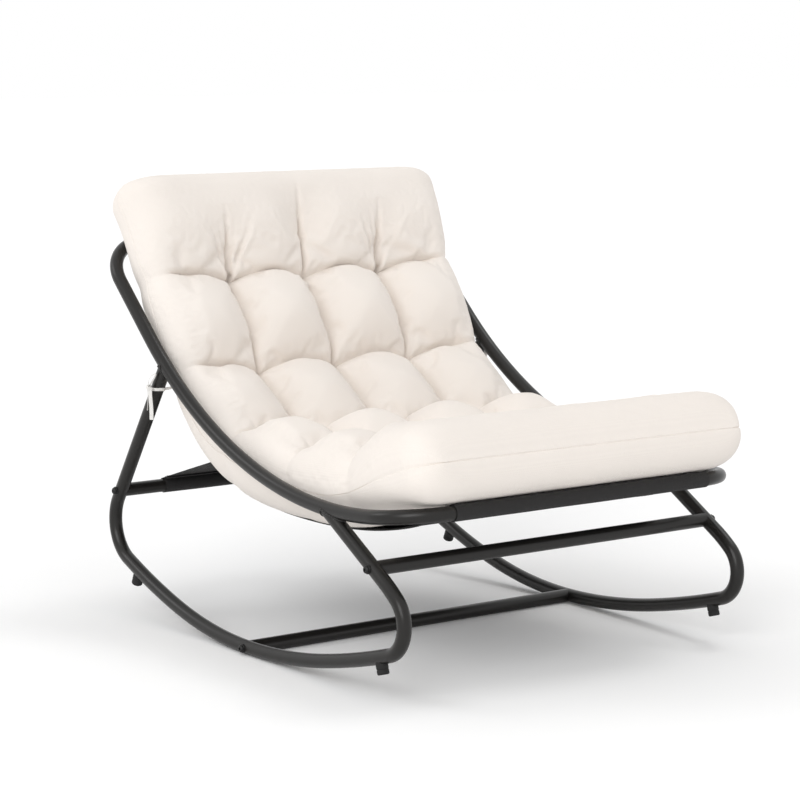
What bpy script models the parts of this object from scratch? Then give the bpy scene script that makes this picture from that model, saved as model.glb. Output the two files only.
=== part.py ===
"""Rocking lounge chair: a bent steel tube frame, a fabric sling and one tufted cushion.

Lengths are metres and angles are degrees. +Z is up, the sitter looks along -Y and
the sitter's left is +X. Inside this script y = 0 is the middle of the rocker's rest
flat. An empty then moves the whole chair so that its box is centred on the origin.
"""
from math import acos, atan2, cos, pi, radians, sin, sqrt

import bmesh
import bpy
from mathutils import Matrix, Vector

# Tube frame
TUBE_DIAMETER = 0.0254
TUBE_WALL = 0.0015
TUBE_FACETS = 16
SIDE_SPACING = 0.750
FIT_GAP = 0.0003

# Rocker, from its rest flat to the rear and to the front
REST_FLAT = 0.160
TOE_RADIUS = 0.200
REAR_TOE_TURN = 9.9
REAR_SWEEP_RADIUS = 1.448
REAR_SWEEP_TURN = 12.8
REAR_BEND_RADIUS = 0.077
REAR_BEND_TURN = 100.8
FRONT_TOE_TURN = 6.9
FRONT_SWEEP_RADIUS = 1.974
FRONT_SWEEP_TURN = 9.8
FRONT_BEND_RADIUS = 0.056
FRONT_BEND_TURN = 123.6
FRONT_RISE_RADIUS = 0.285
FRONT_RISE_TURN = 9.3

# Side rail, from the front rail to the top rail
FRONT_RAIL_Y = -0.482
FRONT_RAIL_HEIGHT = 0.320
FRONT_RAIL_RISE = 6.4
CORNER_RADIUS = 0.100
SEAT_RADIUS = 0.905
SEAT_TURN = 49.1
BACK_STRAIGHT = 0.145

# Straight runs that stand for each bend
TOE_SEGMENTS = 3
SWEEP_SEGMENTS = 7
REAR_BEND_SEGMENTS = 8
FRONT_BEND_SEGMENTS = 9
FRONT_RISE_SEGMENTS = 2
SEAT_SEGMENTS = 12
CORNER_SEGMENTS = 8
SLEEVE_SEGMENTS = 16
SLING_BACK_STEPS = 32
SLING_SEAT_STEPS = 20

# Joiners inside the two split rails
JOINER_LENGTH = 0.140
JOINER_WALL = 0.0015
JOINER_SCREW_DIAMETER = 0.005
JOINER_SCREW_REACH = 0.0045
JOINER_SCREW_FROM_MIDDLE = 0.045

# Crossbars and their bolts
REAR_BAR_UP_LEG = 0.020
FRONT_BAR_UP_LEG = 0.032
BOLT_DIAMETER = 0.008
BOLT_HEAD_DIAMETER = 0.0135
BOLT_HEAD_HEIGHT = 0.005
BOLT_HEAD_FLAT = 0.0054
BOLT_HEAD_SIDE = 0.0020
WASHER_DIAMETER = 0.016
WASHER_RIM = 0.0012
INSERT_LENGTH = 0.025
INSERT_SETBACK = 0.002
FASTENER_FACETS = 12

# Rubber stops under both ends of each rocker
STOP_DIAMETER = 0.021
STOP_HEIGHT = 0.017
STOP_ROUNDING = 0.005
STOP_STEM_DIAMETER = 0.008
STOP_STEM_REACH = 0.006
REAR_STOP_SETBACK = 0.045
FRONT_STOP_SETBACK = 0.028

# Sling and the lumbar panel sewn to its back
FABRIC_THICKNESS = 0.0014
SLING_WIDTH = 0.548
SLING_LOW_Y = -0.075
SLING_LOW_HEIGHT = 0.246
SLING_TOP_ANGLE = 66.0
SLING_TOP_PULL = 0.453
SLING_HIP_PULL = 0.291
SLING_SEAT_PULL = 0.211
SLING_FRONT_ANGLE = 40.5
SLING_FRONT_PULL = 0.068
HEM_LENGTH = 0.018
PANEL_WIDTH = 0.564
PANEL_SEAM_SHARE = 0.525
PANEL_SEAM_LENGTH = 0.030

# Cushion
CUSHION_WIDTH = 0.742
CUSHION_BACK_THICKNESS = 0.150
CUSHION_SEAT_THICKNESS = 0.162
CUSHION_TOP_OVERHANG = 0.094
CUSHION_TOP_ANGLE = 60.0
CUSHION_FRONT_OVERHANG = 0.058
CUSHION_FRONT_ANGLE = 18.0
CUSHION_FRONT_PULL = 0.180
CUSHION_TOP_ROUNDING = 0.050
CUSHION_UNDER_ROUNDING = 0.095
CUSHION_END_ROUNDING = 0.062
CUSHION_CORNER_ROUNDING = 0.040
CUSHION_WAIST = 0.014
CUSHION_CROWN = 0.014
CUSHION_LIFT = 0.0006
CUSHION_TOP_LIFT = 0.0020
CUSHION_HIP_START = 0.35
CUSHION_HIP_END = 0.65
CUSHION_NORMAL_REACH = 0.05
TUFT_ROWS = (0.0, 0.172, 0.330, 0.515, 0.675, 0.83, 1.0)
TUFT_DEPTH = 0.045
CREASE_DEPTH = 0.018
STEPS_PER_COLUMN = 4
STEPS_PER_ROW = 5

# Tie tapes round the rear legs
TIE_DROP = 0.045
TIE_WIDTH = 0.008
TIE_THICKNESS = 0.0014
KNOT_DIAMETER = 0.013
TIE_LOOP_LENGTH = 0.022
TIE_LOOP_SPREAD = 0.012
TIE_TAIL_SWAY = 0.12
TIE_LONG_TAIL = 0.058
TIE_SHORT_TAIL = 0.040

# Worked-out sizes
TUBE_RADIUS = TUBE_DIAMETER / 2
BORE_RADIUS = TUBE_RADIUS - TUBE_WALL
TUBE_CORNER_RADIUS = TUBE_RADIUS / cos(pi / TUBE_FACETS)
SIDE_X = SIDE_SPACING / 2
SLEEVE_RADIUS = TUBE_CORNER_RADIUS + FIT_GAP + FABRIC_THICKNESS / 2
SIDES = (("left", 1.0), ("right", -1.0))


class Finish:
    """A named surface finish: base colour, roughness and metallic value."""

    def __init__(self, name, colour, roughness, metallic=0.0):
        self.name = name
        self.colour = colour
        self.roughness = roughness
        self.metallic = metallic

    def material(self, node_name):
        """Return a new Principled material for one node."""
        material = bpy.data.materials.new(f"{node_name}_{self.name}")
        material.use_nodes = True
        shader = material.node_tree.nodes["Principled BSDF"]
        shader.inputs["Base Color"].default_value = (*self.colour, 1.0)
        shader.inputs["Roughness"].default_value = self.roughness
        shader.inputs["Metallic"].default_value = self.metallic
        return material


POWDER_COAT = Finish("powder_coat", (0.060, 0.057, 0.055), 0.45, 0.30)
BARE_STEEL = Finish("zinc_steel", (0.42, 0.42, 0.43), 0.40, 0.90)
BLACK_STEEL = Finish("black_steel", (0.012, 0.012, 0.012), 0.35, 0.60)
RUBBER = Finish("rubber", (0.010, 0.010, 0.010), 0.75)
BLACK_CLOTH = Finish("black_cloth", (0.016, 0.016, 0.017), 0.85)
IVORY_CLOTH = Finish("ivory_cloth", (0.84, 0.80, 0.74), 0.90)
WHITE_TAPE = Finish("white_tape", (0.80, 0.78, 0.74), 0.90)


# Flat paths in the side plane, as (y, z) vectors
def heading_vector(degrees):
    """Return the unit vector at an angle from +Y towards +Z."""
    return Vector((cos(radians(degrees)), sin(radians(degrees))))


def trace(start, heading, steps):
    """Follow lines and arcs; return the points and the last heading.

    A step is ("line", length) or ("arc", radius, turn, segments), where a positive
    turn bends from +Y towards +Z.
    """
    points = [start.copy()]
    for step in steps:
        if step[0] == "line":
            points.append(points[-1] + step[1] * heading_vector(heading))
            continue
        radius, turn, segments = step[1:]
        side = 90.0 if turn > 0 else -90.0
        centre = points[-1] + radius * heading_vector(heading + side)
        for index in range(1, segments + 1):
            angle = heading + turn * index / segments
            points.append(centre - radius * heading_vector(angle + side))
        heading += turn
    return points, heading


def crossing(start, direction, line):
    """Return the distance from start along direction to the first crossing of a polyline."""
    best = None
    for first, second in zip(line, line[1:]):
        along = second - first
        det = direction.x * along.y - direction.y * along.x
        if abs(det) < 1e-12:
            continue
        offset = first - start
        distance = (offset.x * along.y - offset.y * along.x) / det
        share = (offset.x * direction.y - offset.y * direction.x) / det
        if distance > 0 and -1e-6 <= share <= 1 + 1e-6 and (best is None or distance < best):
            best = distance
    return best


def bezier(controls, steps):
    """Return steps + 1 points on a cubic curve."""
    points = []
    for index in range(steps + 1):
        t = index / steps
        weights = ((1 - t) ** 3, 3 * (1 - t) ** 2 * t, 3 * (1 - t) * t * t, t ** 3)
        points.append(sum((w * c for w, c in zip(weights, controls)), Vector((0.0, 0.0))))
    return points


def side_rail_line():
    """Return the side rail's line from the front corner's bend to the top corner's."""
    front = Vector((FRONT_RAIL_Y, FRONT_RAIL_HEIGHT))
    start = front + CORNER_RADIUS * heading_vector(-FRONT_RAIL_RISE)
    return trace(start, -FRONT_RAIL_RISE, [
        ("arc", SEAT_RADIUS, SEAT_TURN, SEAT_SEGMENTS),
        ("line", BACK_STRAIGHT),
    ])


def top_rail_point():
    """Return the top rail's axis as (y, z)."""
    points, heading = side_rail_line()
    return points[-1] + CORNER_RADIUS * heading_vector(heading)


class RockerLine:
    """The rocker's centre line, and the places along it that carry other pieces."""

    def __init__(self):
        rail, _ = side_rail_line()
        half = REST_FLAT / 2
        rear, rear_heading = trace(Vector((half, TUBE_RADIUS)), 0.0, [
            ("arc", TOE_RADIUS, REAR_TOE_TURN, TOE_SEGMENTS),
            ("arc", REAR_SWEEP_RADIUS, REAR_SWEEP_TURN, SWEEP_SEGMENTS),
        ])
        self.rear_stop = rear[-1] - REAR_STOP_SETBACK * heading_vector(rear_heading)
        self.rear_stop_heading = rear_heading
        bend, leg_heading = trace(rear[-1], rear_heading, [
            ("arc", REAR_BEND_RADIUS, REAR_BEND_TURN, REAR_BEND_SEGMENTS),
        ])
        self.rear_leg_heading = leg_heading
        leg = heading_vector(leg_heading)
        self.rear_bar = bend[-1] + REAR_BAR_UP_LEG * leg
        self.rear_top = bend[-1] + crossing(bend[-1], leg, rail) * leg
        rear_half = rear + bend[1:] + [self.rear_top]

        front, front_heading = trace(Vector((-half, TUBE_RADIUS)), 180.0, [
            ("arc", TOE_RADIUS, -FRONT_TOE_TURN, TOE_SEGMENTS),
            ("arc", FRONT_SWEEP_RADIUS, -FRONT_SWEEP_TURN, SWEEP_SEGMENTS),
        ])
        self.front_stop = front[-1] - FRONT_STOP_SETBACK * heading_vector(front_heading)
        self.front_stop_heading = front_heading
        bend, leg_heading = trace(front[-1], front_heading, [
            ("arc", FRONT_BEND_RADIUS, -FRONT_BEND_TURN, FRONT_BEND_SEGMENTS),
            ("arc", FRONT_RISE_RADIUS, -FRONT_RISE_TURN, FRONT_RISE_SEGMENTS),
        ])
        leg = heading_vector(leg_heading)
        self.front_bar = bend[-1] + FRONT_BAR_UP_LEG * leg
        self.front_top = bend[-1] + crossing(bend[-1], leg, rail) * leg
        front_half = front + bend[1:] + [self.front_top]
        self.points = list(reversed(rear_half)) + front_half
        self.bottom_bar = Vector((0.0, TUBE_RADIUS))


# Meshes
def to_side(points, x):
    """Lift (y, z) points into the plane at x."""
    return [Vector((x, p.x, p.y)) for p in points]


def new_object(name, bm, finish, angle=35.0):
    """Make an object from a bmesh, with outward faces and its own material."""
    bmesh.ops.recalc_face_normals(bm, faces=bm.faces)
    mesh = bpy.data.meshes.new(name)
    bm.to_mesh(mesh)
    bm.free()
    mesh.shade_smooth()
    mesh.set_sharp_from_angle(angle=radians(angle))
    if finish is not None:
        mesh.materials.append(finish.material(name))
    obj = bpy.data.objects.new(name, mesh)
    bpy.context.collection.objects.link(obj)
    return obj


def ring_offsets(radius, across, up):
    """Return the corner offsets of one tube ring whose flats lie at the radius."""
    corner = radius / cos(pi / TUBE_FACETS)
    angles = [(index + 0.5) * 2 * pi / TUBE_FACETS for index in range(TUBE_FACETS)]
    return [corner * (cos(a) * across + sin(a) * up) for a in angles]


def sweep_rings(line, radius):
    """Return mitred rings of points along a 3-D line."""
    runs = [(b - a).normalized() for a, b in zip(line, line[1:])]
    reference = Vector((1.0, 0.0, 0.0)) if abs(runs[0].x) < 0.9 else Vector((0.0, 0.0, 1.0))
    up = runs[0].cross(reference).normalized()
    across = up.cross(runs[0]).normalized()
    rings = []
    for index, point in enumerate(line):
        before = runs[max(index - 1, 0)]
        after = runs[min(index, len(runs) - 1)]
        plane = (before + after).normalized()
        offsets = ring_offsets(radius, across, up)
        rings.append([point + o - before * (o.dot(plane) / before.dot(plane)) for o in offsets])
        turn = before.rotation_difference(after)
        up = turn @ up
        across = turn @ across
    return rings


def bridge(bm, first, second, flip=False):
    """Join two closed rings of vertices with quads."""
    count = len(first)
    for index in range(count):
        following = (index + 1) % count
        quad = (first[index], first[following], second[following], second[index])
        bm.faces.new(tuple(reversed(quad)) if flip else quad)


def tube(name, line, radius, bore, finish):
    """Sweep a round tube along a 3-D line; a bore of None makes a solid bar."""
    bm = bmesh.new()
    outer = [[bm.verts.new(p) for p in ring] for ring in sweep_rings(line, radius)]
    for first, second in zip(outer, outer[1:]):
        bridge(bm, first, second)
    if bore is None:
        bm.faces.new(outer[0])
        bm.faces.new(outer[-1])
        return new_object(name, bm, finish)
    inner = [[bm.verts.new(p) for p in ring] for ring in sweep_rings(line, bore)]
    for first, second in zip(inner, inner[1:]):
        bridge(bm, first, second, flip=True)
    bridge(bm, inner[0], outer[0])
    bridge(bm, outer[-1], inner[-1])
    return new_object(name, bm, finish)


def turned(name, profile, finish, facets=FASTENER_FACETS):
    """Spin a closed (radius, z) profile round local Z; zero radii lie on the axis."""
    bm = bmesh.new()
    rings = []
    for radius, z in profile:
        if radius == 0.0:
            rings.append([bm.verts.new((0.0, 0.0, z))])
            continue
        angles = [2 * pi * index / facets for index in range(facets)]
        rings.append([bm.verts.new((radius * cos(a), radius * sin(a), z)) for a in angles])
    closed = list(zip(rings, rings[1:]))
    if len(rings[0]) > 1:
        closed.append((rings[-1], rings[0]))
    for first, second in closed:
        for index in range(facets):
            following = (index + 1) % facets
            corners = [first[index % len(first)], first[following % len(first)],
                       second[following % len(second)], second[index % len(second)]]
            bm.faces.new(list(dict.fromkeys(corners)))
    return new_object(name, bm, finish)


def aim(obj, point, direction):
    """Place an object at a point with its local Z along a direction."""
    obj.rotation_mode = "QUATERNION"
    obj.rotation_quaternion = Vector(direction).to_track_quat("Z", "Y")
    obj.location = point
    bpy.context.view_layer.update()
    return obj


def pin_cutter(point, direction, radius, length):
    """Return a solid pin from a point along a direction, for cutting a hole."""
    pin = turned("cutter", [(0.0, 0.0), (radius, 0.0), (radius, length), (0.0, length)], None)
    return aim(pin, point, direction)


def combine(obj, others, operation):
    """Apply exact Booleans with other objects, which are then removed."""
    for other in others:
        modifier = obj.modifiers.new(operation.lower(), "BOOLEAN")
        modifier.operation = operation
        modifier.solver = "EXACT"
        modifier.object = other
    bpy.context.view_layer.update()
    evaluated = obj.evaluated_get(bpy.context.evaluated_depsgraph_get())
    mesh = bpy.data.meshes.new_from_object(evaluated)
    obj.modifiers.clear()
    obj.data = mesh
    for other in others:
        bpy.data.objects.remove(other)
    return obj


def copy_of(obj):
    """Return a loose copy of an object, for use as a cutter."""
    twin = obj.copy()
    twin.data = obj.data.copy()
    bpy.context.collection.objects.link(twin)
    bpy.context.view_layer.update()
    return twin


# Frame pieces
def rail_line(side):
    """Return one side rail's 3-D line, from the split top rail to the split front rail."""
    points, heading = side_rail_line()
    inward = Vector((-side, 0.0, 0.0))
    split = side * FIT_GAP / 2
    line = []
    for end, run in ((points[-1], heading), (points[0], 180.0 - FRONT_RAIL_RISE)):
        start = Vector((side * SIDE_X, end.x, end.y))
        flat = heading_vector(run)
        along = Vector((0.0, flat.x, flat.y))
        bend = []
        for index in range(CORNER_SEGMENTS + 1):
            angle = radians(90.0 * index / CORNER_SEGMENTS)
            bend.append(start + CORNER_RADIUS * (sin(angle) * along + (1 - cos(angle)) * inward))
        finish = bend[-1].copy()
        finish.x = split
        line.append(bend + [finish])
    top, front = line
    middle = to_side(list(reversed(points))[1:-1], side * SIDE_X)
    return list(reversed(top)) + middle + front


def joiner_screw_places():
    """Yield each joiner screw's name, point on the rail's axis and outward direction."""
    top = top_rail_point()
    rails = (("top", top, Vector((0.0, 1.0, 0.0))),
             ("front", Vector((FRONT_RAIL_Y, FRONT_RAIL_HEIGHT)), Vector((0.0, 0.0, -1.0))))
    for rail, axis, outward in rails:
        for side_name, side in SIDES:
            point = Vector((side * JOINER_SCREW_FROM_MIDDLE, axis.x, axis.y))
            yield f"{rail}_{side_name}_joiner_screw", rail, side, point, outward


def build_rails():
    """Make the two side rails, the joiners inside their split ends and the screws."""
    screws = list(joiner_screw_places())
    hole = JOINER_SCREW_DIAMETER / 2 + FIT_GAP
    for side_name, side in SIDES:
        rail = tube(f"{side_name}_side_rail", rail_line(side), TUBE_RADIUS, BORE_RADIUS, POWDER_COAT)
        pins = [pin_cutter(p, out, hole, TUBE_DIAMETER) for _, _, s, p, out in screws if s == side]
        combine(rail, pins, "DIFFERENCE")
    joiner_radius = BORE_RADIUS - FIT_GAP
    places = {"top": top_rail_point(), "front": Vector((FRONT_RAIL_Y, FRONT_RAIL_HEIGHT))}
    for rail_name, axis in places.items():
        ends = [Vector((x, axis.x, axis.y)) for x in (-JOINER_LENGTH / 2, JOINER_LENGTH / 2)]
        joiner = tube(f"{rail_name}_rail_joiner", ends, joiner_radius,
                      joiner_radius - JOINER_WALL, BARE_STEEL)
        pins = [pin_cutter(p, out, hole, TUBE_DIAMETER) for _, r, _, p, out in screws if r == rail_name]
        combine(joiner, pins, "DIFFERENCE")
    radius = JOINER_SCREW_DIAMETER / 2
    inner = TUBE_RADIUS - JOINER_SCREW_REACH
    profile = [(0.0, inner), (radius, inner), (radius, TUBE_RADIUS), (0.0, TUBE_RADIUS)]
    for name, _, _, point, outward in screws:
        aim(turned(name, profile, BLACK_STEEL), point, outward)


def crossbar_places(rocker):
    """Return each crossbar's name and its axis as (y, z)."""
    return {"front": rocker.front_bar, "rear": rocker.rear_bar, "bottom": rocker.bottom_bar}


def stop_places(rocker):
    """Return each stop's name, its point on the rocker's line and its outward direction."""
    rear = heading_vector(rocker.rear_stop_heading - 90.0)
    front = heading_vector(rocker.front_stop_heading + 90.0)
    return {"front": (rocker.front_stop, front), "rear": (rocker.rear_stop, rear)}


def build_rockers(rocker):
    """Make the rockers, coped to the rails and drilled; return a cutter of each outside."""
    outsides = {}
    for side_name, side in SIDES:
        line = to_side(rocker.points, side * SIDE_X)
        piece = tube(f"{side_name}_rocker", line, TUBE_RADIUS, BORE_RADIUS, POWDER_COAT)
        cutters = [tube("cutter", rail_line(side), TUBE_RADIUS + FIT_GAP, None, None)]
        outward = Vector((side, 0.0, 0.0))
        for axis in crossbar_places(rocker).values():
            start = Vector((side * (SIDE_X - TUBE_DIAMETER), axis.x, axis.y))
            cutters.append(pin_cutter(start, outward, BOLT_DIAMETER / 2 + FIT_GAP, 2 * TUBE_DIAMETER))
        for axis, away in stop_places(rocker).values():
            start = Vector((side * SIDE_X, axis.x, axis.y))
            direction = Vector((0.0, away.x, away.y))
            cutters.append(pin_cutter(start, direction, STOP_STEM_DIAMETER / 2 + FIT_GAP, TUBE_DIAMETER))
        combine(piece, cutters, "DIFFERENCE")
        outsides[side_name] = tube("cutter", line, TUBE_RADIUS + FIT_GAP, None, None)
    return outsides


def build_crossbars(rocker, outsides):
    """Make the three crossbars with fish-mouth ends, and the inserts, bolts and washers."""
    head_start = SIDE_X + TUBE_RADIUS + FIT_GAP + WASHER_RIM
    insert_start = SIDE_X - TUBE_RADIUS - FIT_GAP - INSERT_SETBACK
    insert_end = insert_start - INSERT_LENGTH
    shank = BOLT_DIAMETER / 2
    head = BOLT_HEAD_DIAMETER / 2
    seat = head_start + FIT_GAP
    bolt_profile = [
        (0.0, insert_end), (shank, insert_end), (shank, seat), (head, seat),
        (head, seat + BOLT_HEAD_SIDE),
        (BOLT_HEAD_FLAT / 2, seat + BOLT_HEAD_HEIGHT), (0.0, seat + BOLT_HEAD_HEIGHT),
    ]
    hole = shank + FIT_GAP
    plug = BORE_RADIUS - FIT_GAP
    insert_profile = [(hole, insert_end), (plug, insert_end), (plug, insert_start), (hole, insert_start)]
    rim = WASHER_DIAMETER / 2
    saddle = SIDE_X + sqrt(TUBE_RADIUS ** 2 - rim ** 2) - WASHER_RIM
    washer_profile = [(hole, saddle), (rim, saddle), (rim, head_start), (hole, head_start)]
    for bar_name, axis in crossbar_places(rocker).items():
        ends = [Vector((x, axis.x, axis.y)) for x in (-SIDE_X, SIDE_X)]
        bar = tube(f"{bar_name}_crossbar", ends, TUBE_RADIUS, BORE_RADIUS, POWDER_COAT)
        combine(bar, [copy_of(outside) for outside in outsides.values()], "DIFFERENCE")
        for side_name, side in SIDES:
            label = f"{side_name}_{bar_name}"
            middle = Vector((0.0, axis.x, axis.y))
            outward = Vector((side, 0.0, 0.0))
            aim(turned(f"{label}_bolt", bolt_profile, BLACK_STEEL), middle, outward)
            aim(turned(f"{label}_insert", insert_profile, BARE_STEEL), middle, outward)
            washer = aim(turned(f"{label}_washer", washer_profile, BLACK_STEEL), middle, outward)
            combine(washer, [copy_of(outsides[side_name])], "DIFFERENCE")


def build_stops(rocker, outsides):
    """Make the four rubber stops, each saddled on its rocker with a stem through the wall."""
    radius = STOP_DIAMETER / 2
    stem = STOP_STEM_DIAMETER / 2
    bottom = TUBE_RADIUS + STOP_HEIGHT
    root = TUBE_RADIUS - STOP_STEM_REACH
    corner = (1 - cos(pi / 4)) * STOP_ROUNDING
    saddle = sqrt(TUBE_RADIUS ** 2 - radius ** 2) - FIT_GAP
    body = [
        (0.0, saddle), (radius, saddle), (radius, bottom - STOP_ROUNDING),
        (radius - corner, bottom - corner),
        (radius - STOP_ROUNDING, bottom), (0.0, bottom),
    ]
    stem_top = TUBE_RADIUS + STOP_HEIGHT / 2
    peg = [(0.0, root), (stem, root), (stem, stem_top), (0.0, stem_top)]
    for place, (axis, away) in stop_places(rocker).items():
        for side_name, side in SIDES:
            point = Vector((side * SIDE_X, axis.x, axis.y))
            direction = Vector((0.0, away.x, away.y))
            stop = aim(turned(f"{side_name}_{place}_stop", body, RUBBER), point, direction)
            combine(stop, [copy_of(outsides[side_name])], "DIFFERENCE")
            combine(stop, [aim(turned("cutter", peg, None), point, direction)], "UNION")


# Cloth pieces
class SlingLine:
    """The sling's profile from the top rail to the front rail, as (y, z) points."""

    def __init__(self):
        top = top_rail_point()
        front = Vector((FRONT_RAIL_Y, FRONT_RAIL_HEIGHT))
        self.low = Vector((SLING_LOW_Y, SLING_LOW_HEIGHT))
        down = -heading_vector(SLING_TOP_ANGLE)
        self.top_start = top + SLEEVE_RADIUS * heading_vector(SLING_TOP_ANGLE + 90.0)
        back = heading_vector(-SLING_FRONT_ANGLE)
        self.front_end = front + SLEEVE_RADIUS * heading_vector(90.0 - SLING_FRONT_ANGLE)
        level = Vector((1.0, 0.0))
        self.back_curve = bezier([
            self.top_start, self.top_start + SLING_TOP_PULL * down,
            self.low + SLING_HIP_PULL * level, self.low,
        ], SLING_BACK_STEPS)
        self.seat_curve = bezier([
            self.low, self.low - SLING_SEAT_PULL * level,
            self.front_end + SLING_FRONT_PULL * back, self.front_end,
        ], SLING_SEAT_STEPS)
        self.top = top
        self.front = front

    def sleeve(self, centre, tangent_point, run, clockwise):
        """Return the points of a sewn sleeve round a rail, from the sheet to its hem."""
        start = tangent_point - centre
        first = atan2(start.y, start.x)
        clearance = (2 * FABRIC_THICKNESS + FIT_GAP) / SLEEVE_RADIUS
        closing = sqrt(2 * clearance)
        sign = -1.0 if clockwise else 1.0
        step = (2 * pi - closing) / SLEEVE_SEGMENTS
        reach = SLEEVE_RADIUS / cos(step / 2)
        points = []
        for index in range(1, SLEEVE_SEGMENTS + 1):
            angle = first + sign * step * index
            points.append(centre + reach * Vector((cos(angle), sin(angle))))
        points.append(points[-1] + HEM_LENGTH * run)
        return points

    def full_strip(self):
        """Return the strip's line with a sleeve at each end."""
        down = -heading_vector(SLING_TOP_ANGLE)
        top = self.sleeve(self.top, self.top_start, down, True)
        back = heading_vector(-SLING_FRONT_ANGLE)
        front = self.sleeve(self.front, self.front_end, back, False)
        return list(reversed(top)) + self.back_curve + self.seat_curve[1:] + front


def line_normals(points):
    """Return the mitred left normals of an open (y, z) line."""
    runs = [(b - a).normalized() for a, b in zip(points, points[1:])]
    normals = []
    for index in range(len(points)):
        before = runs[max(index - 1, 0)]
        after = runs[min(index, len(runs) - 1)]
        plane = Vector((-(before.y + after.y), before.x + after.x)).normalized()
        lean = Vector((-before.y, before.x)).dot(plane)
        normals.append(plane / lean)
    return normals


def cloth_strip(name, points, width, thickness, finish):
    """Make a strip of cloth with a (y, z) line, centred on x = 0."""
    bm = bmesh.new()
    rings = []
    for point, normal in zip(points, line_normals(points)):
        over = point + normal * thickness / 2
        under = point - normal * thickness / 2
        corners = ((-1, over), (1, over), (1, under), (-1, under))
        rings.append([bm.verts.new((s * width / 2, p.x, p.y)) for s, p in corners])
    for first, second in zip(rings, rings[1:]):
        bridge(bm, first, second)
    bm.faces.new(rings[0])
    bm.faces.new(rings[-1])
    return new_object(name, bm, finish, angle=60.0)


def build_sling(rocker):
    """Make the sling and the lumbar panel from its back to the rear crossbar."""
    sling = SlingLine()
    cloth_strip("seat_sling", sling.full_strip(), SLING_WIDTH, FABRIC_THICKNESS, BLACK_CLOTH)
    curve = sling.back_curve
    seam = int(PANEL_SEAM_SHARE * (len(curve) - 1))
    run = (curve[seam + 1] - curve[seam]).normalized()
    behind = Vector((-run.y, run.x))
    if behind.x < 0:
        behind = -behind
    start = curve[seam] + (FABRIC_THICKNESS + FIT_GAP) * behind
    bar = rocker.rear_bar
    away = start - bar
    lean = atan2(away.y, away.x) - acos(SLEEVE_RADIUS / away.length)
    touch = bar + SLEEVE_RADIUS * Vector((cos(lean), sin(lean)))
    pull = (start - touch).normalized()
    sleeve = sling.sleeve(bar, touch, pull, True)
    flap = start - PANEL_SEAM_LENGTH * run
    cloth_strip("lumbar_panel", [flap, start, touch] + sleeve, PANEL_WIDTH, FABRIC_THICKNESS, BLACK_CLOTH)
    return sling


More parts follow.
